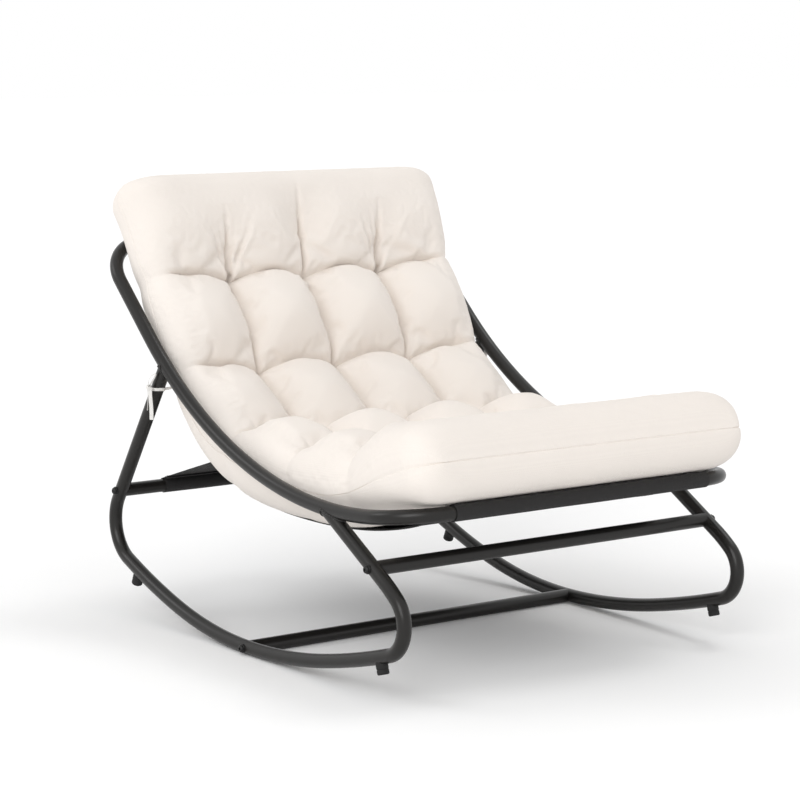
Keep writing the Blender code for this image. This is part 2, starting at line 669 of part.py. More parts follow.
class CushionForm:
    """The tufted cushion's surface over the sling."""

    def __init__(self, sling):
        lift = FABRIC_THICKNESS / 2 + CUSHION_LIFT
        low = sling.low + Vector((0.0, lift))
        level = Vector((1.0, 0.0))
        back = heading_vector(-CUSHION_FRONT_ANGLE)
        reach = SLEEVE_RADIUS / cos(pi / TUBE_FACETS) + lift
        front = sling.front + reach * heading_vector(90.0 - CUSHION_FRONT_ANGLE)
        down = -heading_vector(SLING_TOP_ANGLE)
        top_reach = reach + CUSHION_TOP_LIFT
        top = sling.top + top_reach * heading_vector(SLING_TOP_ANGLE + 90.0)
        rear_part = bezier([top, top + SLING_TOP_PULL * down, low + SLING_HIP_PULL * level, low], 60)
        front_part = bezier([low, low - SLING_SEAT_PULL * level, front + CUSHION_FRONT_PULL * back, front], 40)
        rim = sling.top + top_reach * heading_vector(CUSHION_TOP_ANGLE + 90.0)
        crest = rim + CUSHION_TOP_OVERHANG * heading_vector(CUSHION_TOP_ANGLE)
        self.points = [crest, rim] + rear_part + front_part[1:]
        self.points.append(front - CUSHION_FRONT_OVERHANG * back)
        self.lengths = [0.0]
        for a, b in zip(self.points, self.points[1:]):
            self.lengths.append(self.lengths[-1] + (b - a).length)
        self.length = self.lengths[-1]

    def rest(self, share):
        """Return the point under the cushion at a share of its length, and its normal."""
        distance = share * self.length
        index = 0
        while index < len(self.lengths) - 2 and self.lengths[index + 1] < distance:
            index += 1
        a, b = self.points[index], self.points[index + 1]
        run = (b - a) / (self.lengths[index + 1] - self.lengths[index])
        point = a + run * (distance - self.lengths[index])
        return point, self.normal(share)

    def normal(self, share):
        """Return the sitter's side normal, smoothed over a short stretch."""
        ends = []
        for at in (max(share - CUSHION_NORMAL_REACH, 0.0), min(share + CUSHION_NORMAL_REACH, 1.0)):
            distance = at * self.length
            index = 0
            while index < len(self.lengths) - 2 and self.lengths[index + 1] < distance:
                index += 1
            a, b = self.points[index], self.points[index + 1]
            part = (distance - self.lengths[index]) / (self.lengths[index + 1] - self.lengths[index])
            ends.append(a.lerp(b, part))
        run = (ends[1] - ends[0]).normalized()
        return Vector((run.y, -run.x))

    def half_width(self, share):
        """Return half the width, drawn in where the cushion lies between the rails."""
        return CUSHION_WIDTH / 2 - CUSHION_WAIST * (1 - (2 * share - 1) ** 4)

    def thickness(self, share, across):
        """Return the height of the top at a share of the half width, tufts included."""
        blend = (share - CUSHION_HIP_START) / (CUSHION_HIP_END - CUSHION_HIP_START)
        blend = min(max(blend, 0.0), 1.0)
        blend = blend * blend * (3 - 2 * blend)
        base = CUSHION_BACK_THICKNESS + (CUSHION_SEAT_THICKNESS - CUSHION_BACK_THICKNESS) * blend
        row = 1.0
        for first, second in zip(TUFT_ROWS, TUFT_ROWS[1:]):
            if first <= share <= second:
                row = sin(pi * (share - first) / (second - first)) ** 2
        column = 1.0
        if abs(across) < 0.75:
            column = sin(2 * pi * across) ** 2
        crease = CREASE_DEPTH * (2 - sqrt(row) - sqrt(column))
        tuft = (TUFT_DEPTH - CREASE_DEPTH) * (1 - row) ** 2 * (1 - column) ** 2
        return base - CUSHION_CROWN * across * across - crease - tuft

    def section(self, share, squeeze):
        """Return one closed loop of (x, y, z) points; squeeze below 1 rounds the ends."""
        point, normal = self.rest(share)
        half = self.half_width(share) - CUSHION_CORNER_ROUNDING * (1 - squeeze)
        over = half - CUSHION_TOP_ROUNDING
        under = half - CUSHION_UNDER_ROUNDING
        seam = 0.5 * self.thickness(share, 1.0)
        loop = []
        stops = (over, half / 2, 0.0, -half / 2, -over)
        for first, second in zip(stops, stops[1:]):
            for index in range(STEPS_PER_COLUMN):
                x = first + (second - first) * index / STEPS_PER_COLUMN
                loop.append((x, self.thickness(share, x / half)))
        loop.append((-over, self.thickness(share, over / half)))
        edge = loop[-1][1]
        side = []
        for angle in (35.0, 65.0, 90.0):
            turn = radians(angle)
            side.append((-(over + CUSHION_TOP_ROUNDING * sin(turn)), seam + (edge - seam) * cos(turn)))
        for angle in (65.0, 40.0, 18.0):
            turn = radians(angle)
            side.append((-(under + CUSHION_UNDER_ROUNDING * sin(turn)), seam - seam * cos(turn)))
        loop += side
        for index in range(STEPS_PER_COLUMN + 1):
            loop.append(((2 * index / STEPS_PER_COLUMN - 1) * under, 0.0))
        loop += [(-x, h) for x, h in reversed(side)]
        points = []
        for x, height in loop:
            raised = seam + (height - seam) * squeeze
            points.append((x, point.x + raised * normal.x, point.y + raised * normal.y))
        return points


def build_cushion(sling):
    """Loft the cushion through its sections and close both ends."""
    form = CushionForm(sling)
    end = CUSHION_END_ROUNDING / form.length
    rounding = [(0.0, 0.20), (0.12 * end, 0.48), (0.40 * end, 0.80)]
    middle = []
    for first, second in zip(TUFT_ROWS, TUFT_ROWS[1:]):
        middle += [first + (second - first) * index / STEPS_PER_ROW for index in range(STEPS_PER_ROW)]
    stations = rounding + [(s, 1.0) for s in middle[1:]] + [(1 - s, q) for s, q in reversed(rounding)]
    bm = bmesh.new()
    loops = [[bm.verts.new(p) for p in form.section(s, q)] for s, q in stations]
    for first, second in zip(loops, loops[1:]):
        bridge(bm, first, second)
    bm.faces.new(loops[0])
    bm.faces.new(loops[-1])
    bmesh.ops.triangulate(bm, faces=bm.faces)
    return new_object("cushion", bm, IVORY_CLOTH, angle=80.0)


def ribbon(name, points, spread, closed=False):
    """Make a flat tape along a 3-D line, with its width along the spread direction."""
    bm = bmesh.new()
    across = spread.normalized() * TIE_WIDTH / 2
    last = len(points) - 1
    rings = []
    for index, point in enumerate(points):
        before = points[index - 1] if closed or index > 0 else point
        after = points[(index + 1) % len(points)] if closed or index < last else point
        normal = (after - before).cross(across).normalized() * TIE_THICKNESS / 2
        corners = (across + normal, normal - across, -across - normal, across - normal)
        rings.append([bm.verts.new(point + c) for c in corners])
    for first, second in zip(rings, rings[1:]):
        bridge(bm, first, second)
    if closed:
        bridge(bm, rings[-1], rings[0])
    else:
        bm.faces.new(rings[0])
        bm.faces.new(rings[-1])
    return new_object(name, bm, WHITE_TAPE)


def build_ties(rocker):
    """Make a tape round each rear leg, with its knot, bow loop and two tails."""
    leg = heading_vector(rocker.rear_leg_heading)
    along = Vector((0.0, leg.x, leg.y))
    up = Vector((0.0, 0.0, 1.0))
    rearward = Vector((0.0, 1.0, 0.0))
    knot_radius = KNOT_DIAMETER / 2
    band_inside = TUBE_CORNER_RADIUS + FIT_GAP
    band_outside = band_inside + TIE_THICKNESS
    knot_out = band_outside / cos(pi / TUBE_FACETS) + FIT_GAP + knot_radius
    for side_name, side in SIDES:
        outward = Vector((side, 0.0, 0.0))
        top = Vector((side * SIDE_X, rocker.rear_top.x, rocker.rear_top.y))
        centre = top - (TUBE_RADIUS + TIE_DROP) * along
        ends = [centre - along * TIE_WIDTH / 2, centre + along * TIE_WIDTH / 2]
        tube(f"{side_name}_tie_band", ends, band_outside, band_inside, WHITE_TAPE)
        knot = centre + knot_out * outward
        bm = bmesh.new()
        bmesh.ops.create_uvsphere(bm, u_segments=12, v_segments=8, radius=knot_radius,
                                  matrix=Matrix.Translation(knot))
        new_object(f"{side_name}_tie_knot", bm, WHITE_TAPE)
        half_loop = TIE_LOOP_LENGTH / 2
        middle = knot + (knot_radius + FIT_GAP + TIE_THICKNESS / 2 + half_loop) * up
        loop = []
        for index in range(12):
            angle = 2 * pi * index / 12
            loop.append(middle + half_loop * cos(angle) * up + TIE_LOOP_SPREAD / 2 * sin(angle) * rearward)
        ribbon(f"{side_name}_tie_loop", loop, outward, closed=True)
        for tail, length, way in (("long", TIE_LONG_TAIL, -1.0), ("short", TIE_SHORT_TAIL, 1.0)):
            start = knot - (knot_radius + FIT_GAP) * up + way * (TIE_WIDTH + FIT_GAP) / 2 * rearward
            points = []
            for index in range(7):
                share = index / 6
                sway = TIE_TAIL_SWAY * length * sin(pi * share / 2) ** 2
                points.append(start - length * share * up + sway * (outward + way * rearward))
            ribbon(f"{side_name}_tie_{tail}_tail", points, rearward)


def centre_on_origin():
    """Parent every piece to an empty that centres the chair's box on the origin."""
    bpy.context.view_layer.update()
    pieces = [obj for obj in bpy.context.scene.objects if obj.type == "MESH"]
    corners = [obj.matrix_world @ v.co for obj in pieces for v in obj.data.vertices]
    low = min(c.y for c in corners)
    high = max(c.y for c in corners)
    base = min(c.z for c in corners)
    chair = bpy.data.objects.new("chair", None)
    bpy.context.collection.objects.link(chair)
    for obj in pieces:
        obj.parent = chair
    chair.location = (0.0, -(low + high) / 2, -base)
    bpy.context.view_layer.update()
    print("chair moved by", tuple(round(v, 6) for v in chair.location))


def main():
    """Build the whole chair."""
    for obj in list(bpy.data.objects):
        bpy.data.objects.remove(obj)
    rocker = RockerLine()
    build_rails()
    outsides = build_rockers(rocker)
    build_crossbars(rocker, outsides)
    build_stops(rocker, outsides)
    for outside in outsides.values():
        bpy.data.objects.remove(outside)
    sling = build_sling(rocker)
    build_cushion(sling)
    build_ties(rocker)
    centre_on_origin()


main()
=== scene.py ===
"""Looks of a rocking lounge chair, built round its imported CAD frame.

The chair is a bent steel tube frame on two bow rockers, a black cloth sling between the
top and front rails, a lumbar panel, one thick tufted cushion and two tie tapes. Lengths
are metres and angles are degrees. +Z is up and the sitter looks along -Y. The side plane
of the frame is written as (y, z) with y = 0 at the bottom crossbar. A bend is a pair of
its radius and its angle. A zone is a pair of where a change starts and where it is whole.
"""
from __future__ import annotations

import logging
import random
from collections.abc import Callable, Iterator
from contextlib import contextmanager
from dataclasses import dataclass, field
from enum import Enum
from math import acos, atan2, cos, exp, hypot, pi, radians, sin, sqrt

import bmesh
import bpy
import numpy as np
from mathutils import Matrix, Vector, noise

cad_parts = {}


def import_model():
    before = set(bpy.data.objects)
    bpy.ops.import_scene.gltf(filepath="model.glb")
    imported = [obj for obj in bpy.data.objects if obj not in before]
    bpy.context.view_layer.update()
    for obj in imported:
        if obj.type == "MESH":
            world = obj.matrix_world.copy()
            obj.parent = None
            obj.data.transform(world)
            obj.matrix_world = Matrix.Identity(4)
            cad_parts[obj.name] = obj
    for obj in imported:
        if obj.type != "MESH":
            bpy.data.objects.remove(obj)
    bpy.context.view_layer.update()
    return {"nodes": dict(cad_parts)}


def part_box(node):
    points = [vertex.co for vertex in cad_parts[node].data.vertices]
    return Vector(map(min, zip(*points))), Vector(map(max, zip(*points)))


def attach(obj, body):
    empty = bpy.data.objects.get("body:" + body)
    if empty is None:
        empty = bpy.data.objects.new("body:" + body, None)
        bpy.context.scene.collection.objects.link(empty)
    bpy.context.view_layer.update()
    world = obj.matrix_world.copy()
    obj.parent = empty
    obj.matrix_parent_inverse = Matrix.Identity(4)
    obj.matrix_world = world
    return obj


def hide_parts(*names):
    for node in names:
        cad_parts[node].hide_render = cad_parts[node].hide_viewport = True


LOG = logging.getLogger("rocking_chair")
BODY = "root"
MERGE_DISTANCE = 0.00001
REARWARD = Vector((0.0, 1.0, 0.0))
UP = Vector((0.0, 0.0, 1.0))
LEVEL = Vector((1.0, 0.0))
WHITE = (1.0, 1.0, 1.0, 1.0)
TUBE_CREASE = 35.0
FITTING_CREASE = 40.0
SHEET_CREASE = 50.0
SOFT_CREASE = 60.0
COVER_CREASE = 70.0
Object = bpy.types.Object
Material = bpy.types.Material
Socket = bpy.types.NodeSocket
Pair = tuple[float, float]
Colour = tuple[float, float, float]


class Side(Enum):
    """A side of the chair, as the sitter sees it."""

    LEFT = 1
    RIGHT = -1

    @property
    def word(self) -> str:
        """Return the side's name as the frame's nodes spell it."""
        return self.name.lower()

    @property
    def outward(self) -> Vector:
        """Return the direction out of the chair on this side."""
        return Vector((self.value, 0.0, 0.0))


class Bar(Enum):
    """A crossbar between the rockers."""

    FRONT = "front"
    REAR = "rear"
    BOTTOM = "bottom"


class End(Enum):
    """An end of a rocker."""

    REAR = "rear"
    FRONT = "front"


# Blender helpers
def activate(obj: Object) -> None:
    """Make an object the only selected one, and active.

    Args:
        obj: The object to work on.
    """
    bpy.ops.object.select_all(action="DESELECT")
    obj.select_set(True)
    bpy.context.view_layer.objects.active = obj


@contextmanager
def editing(obj: Object) -> Iterator[None]:
    """Hold a mesh in edit mode, with all of it selected at first.

    Args:
        obj: The mesh object.

    Yields:
        Nothing.
    """
    activate(obj)
    bpy.ops.object.mode_set(mode="EDIT")
    bpy.ops.mesh.select_mode(type="VERT")
    bpy.ops.mesh.select_all(action="SELECT")
    yield
    bpy.ops.object.mode_set(mode="OBJECT")


def added(name: str, primitive: Callable[..., set[str]], **settings: object) -> Object:
    """Add a primitive with nothing else selected, and name it.

    Args:
        name: The new object's name.
        primitive: Blender's operator that adds it.
        **settings: Values for the operator.

    Returns:
        The new object.
    """
    bpy.ops.object.select_all(action="DESELECT")
    primitive(**settings)
    obj = bpy.context.active_object
    obj.name = name
    obj.data.name = name
    return obj


def mesh_object(name: str, shape: bmesh.types.BMesh) -> Object:
    """Make a finished shape an object, and free the shape.

    Args:
        name: The new object's name.
        shape: The shape.

    Returns:
        The mesh object.
    """
    mesh = bpy.data.meshes.new(name)
    shape.to_mesh(mesh)
    shape.free()
    obj = bpy.data.objects.new(name, mesh)
    bpy.context.collection.objects.link(obj)
    return obj


def apply_modifier(obj: Object, kind: str, **settings: object) -> None:
    """Add one modifier, set it and apply it.

    Args:
        obj: The object to change.
        kind: The modifier's type, as Blender spells it.
        **settings: Values for the modifier's own properties.
    """
    activate(obj)
    bpy.ops.object.modifier_add(type=kind)
    modifier = obj.modifiers[-1]
    for key, value in settings.items():
        setattr(modifier, key, value)
    bpy.ops.object.modifier_apply(modifier=modifier.name)


def cut_away(obj: Object, cutter: Object) -> None:
    """Cut one object by another closed one, which is kept."""
    apply_modifier(obj, "BOOLEAN", operation="DIFFERENCE", solver="EXACT", object=cutter)


def smooth(obj: Object, crease: float) -> None:
    """Shade an object smooth, with sharp edges past an angle."""
    activate(obj)
    bpy.ops.object.shade_smooth_by_angle(angle=radians(crease))


def copied(obj: Object, name: str, place: Matrix) -> Object:
    """Copy a modelled piece, with its own mesh, to a place held in its mesh.

    Args:
        obj: The piece to copy.
        name: The copy's name.
        place: The matrix that moves it.

    Returns:
        The copy.
    """
    twin = obj.copy()
    twin.data = obj.data.copy()
    twin.name = name
    twin.data.name = name
    twin.data.transform(place)
    bpy.context.collection.objects.link(twin)
    return twin


def box_middle(node: str) -> Vector:
    """Return the middle of a CAD node's box."""
    low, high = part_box(node)
    return (low + high) / 2


# Lines and curves
def heading_vector(degrees: float) -> Vector:
    """Return the unit (y, z) vector at an angle from +Y towards +Z."""
    return Vector((cos(radians(degrees)), sin(radians(degrees))))


def left_of(run: Vector) -> Vector:
    """Return a (y, z) direction turned a quarter turn from +Y towards +Z."""
    return Vector((-run.y, run.x))


def upright(flat: Vector) -> Vector:
    """Return a (y, z) direction as a 3-D one."""
    return Vector((0.0, flat.x, flat.y))


def seen_from(azimuth: float, elevation: float) -> Vector:
    """Return the direction to a viewpoint, at azimuth 0 in front and positive to the left."""
    turn = radians(azimuth)
    rise = radians(elevation)
    return Vector((sin(turn) * cos(rise), -cos(turn) * cos(rise), sin(rise)))


def aimed(point: Vector, direction: Vector) -> Matrix:
    """Return the matrix that puts local Z along a direction at a point."""
    turn = direction.to_track_quat("Z", "Y").to_matrix().to_4x4()
    return Matrix.Translation(point) @ turn


def eased(value: float, zone: Pair) -> float:
    """Return 0 before a zone and 1 past it, eased between, for a zone that runs either way."""
    start, end = zone
    share = min(max((value - start) / (end - start), 0.0), 1.0)
    return share * share * (3.0 - 2.0 * share)


def quarter_turn(steps: int) -> list[Pair]:
    """Return 1 - cos and sin of the angles from 0 to 90 degrees, in even steps."""
    angles = [pi / 2 * index / steps for index in range(steps + 1)]
    return [(1.0 - cos(angle), sin(angle)) for angle in angles]


def bezier(controls: list[Vector], steps: int) -> list[Vector]:
    """Return steps + 1 points on a cubic curve through its end controls."""
    points = []
    for index in range(steps + 1):
        t = index / steps
        weights = ((1 - t) ** 3, 3 * (1 - t) ** 2 * t, 3 * (1 - t) * t * t, t ** 3)
        points.append(sum((w * c for w, c in zip(weights, controls)), Vector((0.0, 0.0))))
    return points


def crossing(start: Vector, direction: Vector, line: list[Vector]) -> tuple[float, Vector]:
    """Find where a ray first meets a polyline.

    Args:
        start: The ray's start.
        direction: The ray's unit direction.
        line: The polyline's points.

    Returns:
        The distance along the ray, and the polyline's direction there.
    """
    best = float("inf")
    best_run = LEVEL
    parallel = 1e-12
    slack = 1e-6
    for first, second in zip(line, line[1:]):
        along = second - first
        det = direction.x * along.y - direction.y * along.x
        if abs(det) < parallel:
            continue
        offset = first - start
        distance = (offset.x * along.y - offset.y * along.x) / det
        share = (offset.x * direction.y - offset.y * direction.x) / det
        if 0.0 < distance < best and -slack <= share <= 1.0 + slack:
            best = distance
            best_run = along.normalized()
    return best, best_run


class FlatPath:
    """A line in the side plane, made of straight runs and arcs."""

    ARC_STEP = 2.5
    LONGEST_STEP = 0.014

    def __init__(self, start: Vector, heading: float) -> None:
        """Start a path.

        Args:
            start: The first (y, z) point.
            heading: The first direction, from +Y towards +Z.
        """
        self.points: list[Vector] = [start.copy()]
        self.heading = heading

    def line(self, length: float) -> FlatPath:
        """Add a straight run of a length and return the path."""
        self.points.append(self.points[-1] + length * heading_vector(self.heading))
        return self

    def arc(self, radius: float, turn: float) -> FlatPath:
        """Add an arc.

        Args:
            radius: The bend's radius.
            turn: The bend's angle, positive from +Y towards +Z.

        Returns:
            The path.
        """
        side = 90.0 if turn > 0 else -90.0
        centre = self.points[-1] + radius * heading_vector(self.heading + side)
        length = radius * abs(radians(turn))
        count = max(2, round(abs(turn) / self.ARC_STEP), round(length / self.LONGEST_STEP))
        for index in range(1, count + 1):
            angle = self.heading + turn * index / count
            self.points.append(centre - radius * heading_vector(angle + side))
        self.heading += turn
        return self


class Measured:
    """A (y, z) polyline that can be read at any distance along it."""

    def __init__(self, points: list[Vector]) -> None:
        """Measure a line.

        Args:
            points: The line's points.
        """
        self.points = points
        self.lengths = [0.0]
        for first, second in zip(points, points[1:]):
            self.lengths.append(self.lengths[-1] + (second - first).length)
        self.length = self.lengths[-1]

    def at(self, distance: float) -> Vector:
        """Return the point at a distance from the start.

        Args:
            distance: The distance along the line.

        Returns:
            The (y, z) point.
        """
        low = 0
        high = len(self.lengths) - 2
        while low < high:
            middle = (low + high) // 2
            if self.lengths[middle + 1] < distance:
                low = middle + 1
            else:
                high = middle
        span = self.lengths[low + 1] - self.lengths[low]
        part = (distance - self.lengths[low]) / span
        return self.points[low].lerp(self.points[low + 1], min(max(part, 0.0), 1.0))

    def normal(self, distance: float, reach: float) -> Vector:
        """Return the left normal of the line, smoothed over a reach each way."""
        before = self.at(max(distance - reach, 0.0))
        after = self.at(min(distance + reach, self.length))
        return left_of((after - before).normalized())


def swept(name: str, points: list[Vector], radius: float, roundness: int = 14,
          closed: bool = False, swell: list[float] | None = None) -> Object:
    """Sweep a round bar along a 3-D line, as a bevelled curve made into a mesh.

    Args:
        name: The new object's name.
        points: The line's points.
        radius: The bar's radius.
        roundness: The curve's bevel resolution.
        closed: Whether the line is a ring.
        swell: A factor on the radius at each point.

    Returns:
        The mesh object.
    """
    obj = added(name, bpy.ops.curve.primitive_bezier_curve_add)
    curve = obj.data
    curve.splines.clear()
    spline = curve.splines.new("POLY")
    spline.points.add(len(points) - 1)
    for knot, place, factor in zip(spline.points, points, swell or [1.0] * len(points)):
        knot.co = (*place, 1.0)
        knot.radius = factor
    spline.use_cyclic_u = closed
    curve.dimensions = "3D"
    curve.bevel_depth = radius
    curve.bevel_resolution = roundness
    curve.use_fill_caps = not closed
    activate(obj)
    bpy.ops.object.convert(target="MESH")
    obj = bpy.context.active_object
    obj.data.name = name
    apply_modifier(obj, "WELD", merge_threshold=MERGE_DISTANCE)
    with editing(obj):
        bpy.ops.mesh.normals_make_consistent(inside=False)
    return obj


def turned(name: str, profile: list[Pair], facets: int = 48) -> Object:
    """Turn a (radius, z) profile round Z with the spin operator.

    Args:
        name: The new object's name.
        profile: The outline from the axis back to the axis, or a closed ring.
        facets: The number of steps round.

    Returns:
        The mesh object.
    """
    obj = added(name, bpy.ops.mesh.primitive_plane_add, size=1.0)
    outline = bmesh.new()
    verts = [outline.verts.new((r, 0.0, z)) for r, z in profile]
    for first, second in zip(verts, verts[1:]):
        outline.edges.new((first, second))
    if profile[0][0] > 0.0:
        outline.edges.new((verts[-1], verts[0]))
    outline.to_mesh(obj.data)
    outline.free()
    with editing(obj):
        bpy.ops.mesh.spin(steps=facets, angle=2 * pi, center=(0, 0, 0), axis=(0, 0, 1))
        bpy.ops.mesh.select_all(action="SELECT")
        bpy.ops.mesh.remove_doubles(threshold=MERGE_DISTANCE)
        bpy.ops.mesh.normals_make_consistent(inside=False)
    return obj


# Finishes
class NodeSet:
    """A node tree, with short ways to add to it."""

    def __init__(self, tree: bpy.types.NodeTree) -> None:
        """Take a tree to add to."""
        self.tree = tree

    def node(self, kind: str, **values: object) -> bpy.types.Node:
        """Add a node of a type, as Blender spells it, and set its inputs."""
        return self.fill(self.tree.nodes.new(kind), **values)

    @staticmethod
    def fill(node: bpy.types.Node, **values: object) -> bpy.types.Node:
        """Set a node's inputs, by name with spaces as underscores, and return it."""
        for key, value in values.items():
            node.inputs[key.replace("_", " ")].default_value = value
        return node

    def join(self, source: Socket, target: Socket) -> None:
        """Link an output to an input."""
        self.tree.links.new(source, target)

    def maths(self, operation: str, first: object, second: object) -> Socket:
        """Return the result of a Math node.

        Args:
            operation: What it does, as Blender spells it.
            first: A socket or a number.
            second: The same.

        Returns:
            The node's output.
        """
        made = self.node("ShaderNodeMath")
        made.operation = operation
        for socket, value in zip(made.inputs, (first, second)):
            if isinstance(value, Socket):
                self.join(value, socket)
            else:
                socket.default_value = value
        return made.outputs[0]

    def plus(self, first: object, second: object) -> Socket:
        """Return the sum of two sockets or numbers."""
        return self.maths("ADD", first, second)

    def times(self, first: object, second: object) -> Socket:
        """Return the product of two sockets or numbers."""
        return self.maths("MULTIPLY", first, second)

    def seen_rays(self, strength: float) -> Socket:
        """Return a strength for camera, glossy and transmitted rays, and 0 for the rest."""
        rays = self.node("ShaderNodeLightPath").outputs
        seen = self.maths("MAXIMUM", rays["Is Camera Ray"], rays["Is Glossy Ray"])
        seen = self.maths("MAXIMUM", seen, rays["Is Transmission Ray"])
        return self.times(seen, strength)


class Shader(NodeSet):
    """A Principled material under construction."""

    # Blender's wave texture runs through this many radians in a metre at a scale of 1
    WAVE_RATE = 20.0

    def __init__(self, name: str, colour: Colour, roughness: float, **values: float) -> None:
        """Start a material.

        Args:
            name: The material's name.
            colour: The base colour, linear.
            roughness: The base roughness.
            **values: Values for other inputs, by name with spaces as underscores.
        """
        self.material = bpy.data.materials.new(name)
        self.material.use_nodes = True
        super().__init__(self.material.node_tree)
        self.colour = colour
        self.surface = self.tree.nodes["Principled BSDF"]
        self.fill(self.surface, Base_Color=(*colour, 1.0), Roughness=roughness, **values)

    def places(self, kind: str = "Object") -> Socket:
        """Return object coordinates, or the piece's own UV map in metres."""
        return self.node("ShaderNodeTexCoord").outputs[kind]

    def noise(self, places: Socket, scale: float, detail: float) -> Socket:
        """Return a noise value over some coordinates."""
        made = self.node("ShaderNodeTexNoise", Scale=scale, Detail=detail)
        self.join(places, made.inputs["Vector"])
        return made.outputs["Fac"]

    def waves(self, places: Socket, pitch: float, way: str) -> Socket:
        """Return even waves of a pitch in metres along X, Y or the diagonal."""
        scale = 2 * pi / (self.WAVE_RATE * pitch)
        made = self.node("ShaderNodeTexWave", Scale=scale, Distortion=0.0)
        made.bands_direction = way
        self.join(places, made.inputs["Vector"])
        return made.outputs["Fac"]

    def tint(self, value: Socket, darker: float, lighter: float) -> None:
        """Vary the base colour between two factors.

        Args:
            value: What it varies by, from 0 to 1.
            darker: The factor at 0.
            lighter: The factor at 1.
        """
        mix = self.node("ShaderNodeMix")
        mix.data_type = "RGBA"
        mix.inputs["A"].default_value = (*(darker * c for c in self.colour), 1.0)
        mix.inputs["B"].default_value = (*(min(lighter * c, 1.0) for c in self.colour), 1.0)
        self.join(value, mix.inputs["Factor"])
        self.join(mix.outputs["Result"], self.surface.inputs["Base Color"])

    def rough(self, value: Socket, low: float, high: float) -> None:
        """Vary the roughness between two values by a value from 0 to 1."""
        made = self.node("ShaderNodeMapRange", To_Min=low, To_Max=high)
        self.join(value, made.inputs["Value"])
        self.join(made.outputs["Result"], self.surface.inputs["Roughness"])

    def bump(self, height: Socket, depth: float) -> None:
        """Bump the surface by a height from 0 to 1 times a depth in metres."""
        made = self.node("ShaderNodeBump", Strength=1.0, Distance=depth)
        self.join(height, made.inputs["Height"])
        self.join(made.outputs["Normal"], self.surface.inputs["Normal"])


@dataclass(frozen=True)
class GrainedSkin:
    """A skin with a fine grain and faint patches: powder coat, plated steel, rubber or thread."""

    colour: Colour
    rough_range: Pair
    metallic: float = 0.0
    specular: float = 0.5
    patch_scale: float = 60.0
    patch_detail: float = 2.0
    patch_tint: Pair = (0.8, 1.25)
    grain_scale: float = 420.0
    grain_detail: float = 3.0
    grain_depth: float = 0.00003
    patchy_gloss: bool = False

    def material(self, name: str) -> Material:
        """Return the finish as a new material.

        Args:
            name: The material's name.

        Returns:
            The material.
        """
        shader = Shader(name, self.colour, self.rough_range[1], Metallic=self.metallic,
                        Specular_IOR_Level=self.specular)
        places = shader.places()
        grain = shader.noise(places, self.grain_scale, self.grain_detail)
        patches = shader.noise(places, self.patch_scale, self.patch_detail)
        shader.tint(patches, *self.patch_tint)
        gloss = shader.times(patches, grain) if self.patchy_gloss else grain
        shader.rough(gloss, *self.rough_range)
        shader.bump(grain, self.grain_depth)
        return shader.material


@dataclass(frozen=True)
class WovenCloth:
    """A plain weave on the piece's own UV map, which is in metres."""

    colour: Colour
    pitch: float
    depth: float
    roughness: float
    sheen: float
    contrast: float
    mottle: float
    specular: float = 0.2
    sheen_roughness: float = 0.5
    slub_share: float = 0.35
    slub_detail: float = 3.0
    slub_height: float = 0.6
    cloud_scale: float = 7.0
    cloud_detail: float = 4.0

    def material(self, name: str) -> Material:
        """Return the finish as a new material.

        Args:
            name: The material's name.

        Returns:
            The material.
        """
        shader = Shader(name, self.colour, self.roughness, Specular_IOR_Level=self.specular,
                        Sheen_Weight=self.sheen, Sheen_Roughness=self.sheen_roughness)
        places = shader.places("UV")
        warp = shader.waves(places, self.pitch, "X")
        weft = shader.waves(places, self.pitch, "Y")
        over = shader.waves(places, 2 * self.pitch, "DIAGONAL")
        under = shader.maths("SUBTRACT", 1.0, over)
        threads = shader.plus(shader.times(warp, over), shader.times(weft, under))
        slub = shader.noise(places, self.slub_share / self.pitch, self.slub_detail)
        cloud = shader.noise(places, self.cloud_scale, self.cloud_detail)
        clouded = shader.times(cloud, 1.0 - self.contrast)
        shade = shader.plus(shader.times(threads, self.contrast), clouded)
        shader.tint(shade, 1.0 - self.mottle, 1.0 + 0.5 * self.mottle)
        shader.bump(shader.plus(threads, shader.times(slub, self.slub_height)), self.depth)
        return shader.material


class Finish(Enum):
    """The chair's finishes."""

    POWDER_COAT = GrainedSkin((0.0130, 0.0120, 0.0110), rough_range=(0.26, 0.42), specular=0.32,
                              patch_scale=9.0, patch_detail=3.0, patch_tint=(0.88, 1.12),
                              grain_scale=900.0, grain_detail=1.0, grain_depth=0.00006,
                              patchy_gloss=True)
    BLACK_STEEL = GrainedSkin((0.018, 0.018, 0.018), rough_range=(0.304, 0.475), metallic=0.55)
    ZINC_STEEL = GrainedSkin((0.42, 0.42, 0.43), rough_range=(0.32, 0.50), metallic=0.90)
    SLING_THREAD = GrainedSkin((0.030, 0.029, 0.029), rough_range=(0.56, 0.875))
    RUBBER = GrainedSkin((0.014, 0.014, 0.014), rough_range=(0.62, 0.85), specular=0.35,
                         patch_scale=90.0, patch_tint=(0.75, 1.4),
                         grain_scale=700.0, grain_depth=0.00008)
    SLING_CLOTH = WovenCloth((0.026, 0.025, 0.025), pitch=0.0011, depth=0.00030, roughness=0.78,
                             sheen=0.05, contrast=0.6, mottle=0.30)
    CUSHION_CLOTH = WovenCloth((0.866, 0.806, 0.750), pitch=0.0013, depth=0.00022, roughness=0.92,
                               sheen=0.12, contrast=0.35, mottle=0.05)
    TAPE_CLOTH = WovenCloth((0.90, 0.885, 0.86), pitch=0.0009, depth=0.00020, roughness=0.88,
                            sheen=0.08, contrast=0.4, mottle=0.12)

    def dress(self, obj: Object) -> None:
        """Give an object this finish's one shared material alone.

        Args:
            obj: The object to dress.
        """
        name = self.name.lower()
        obj.data.materials.clear()
        obj.data.materials.append(bpy.data.materials.get(name) or self.value.material(name))


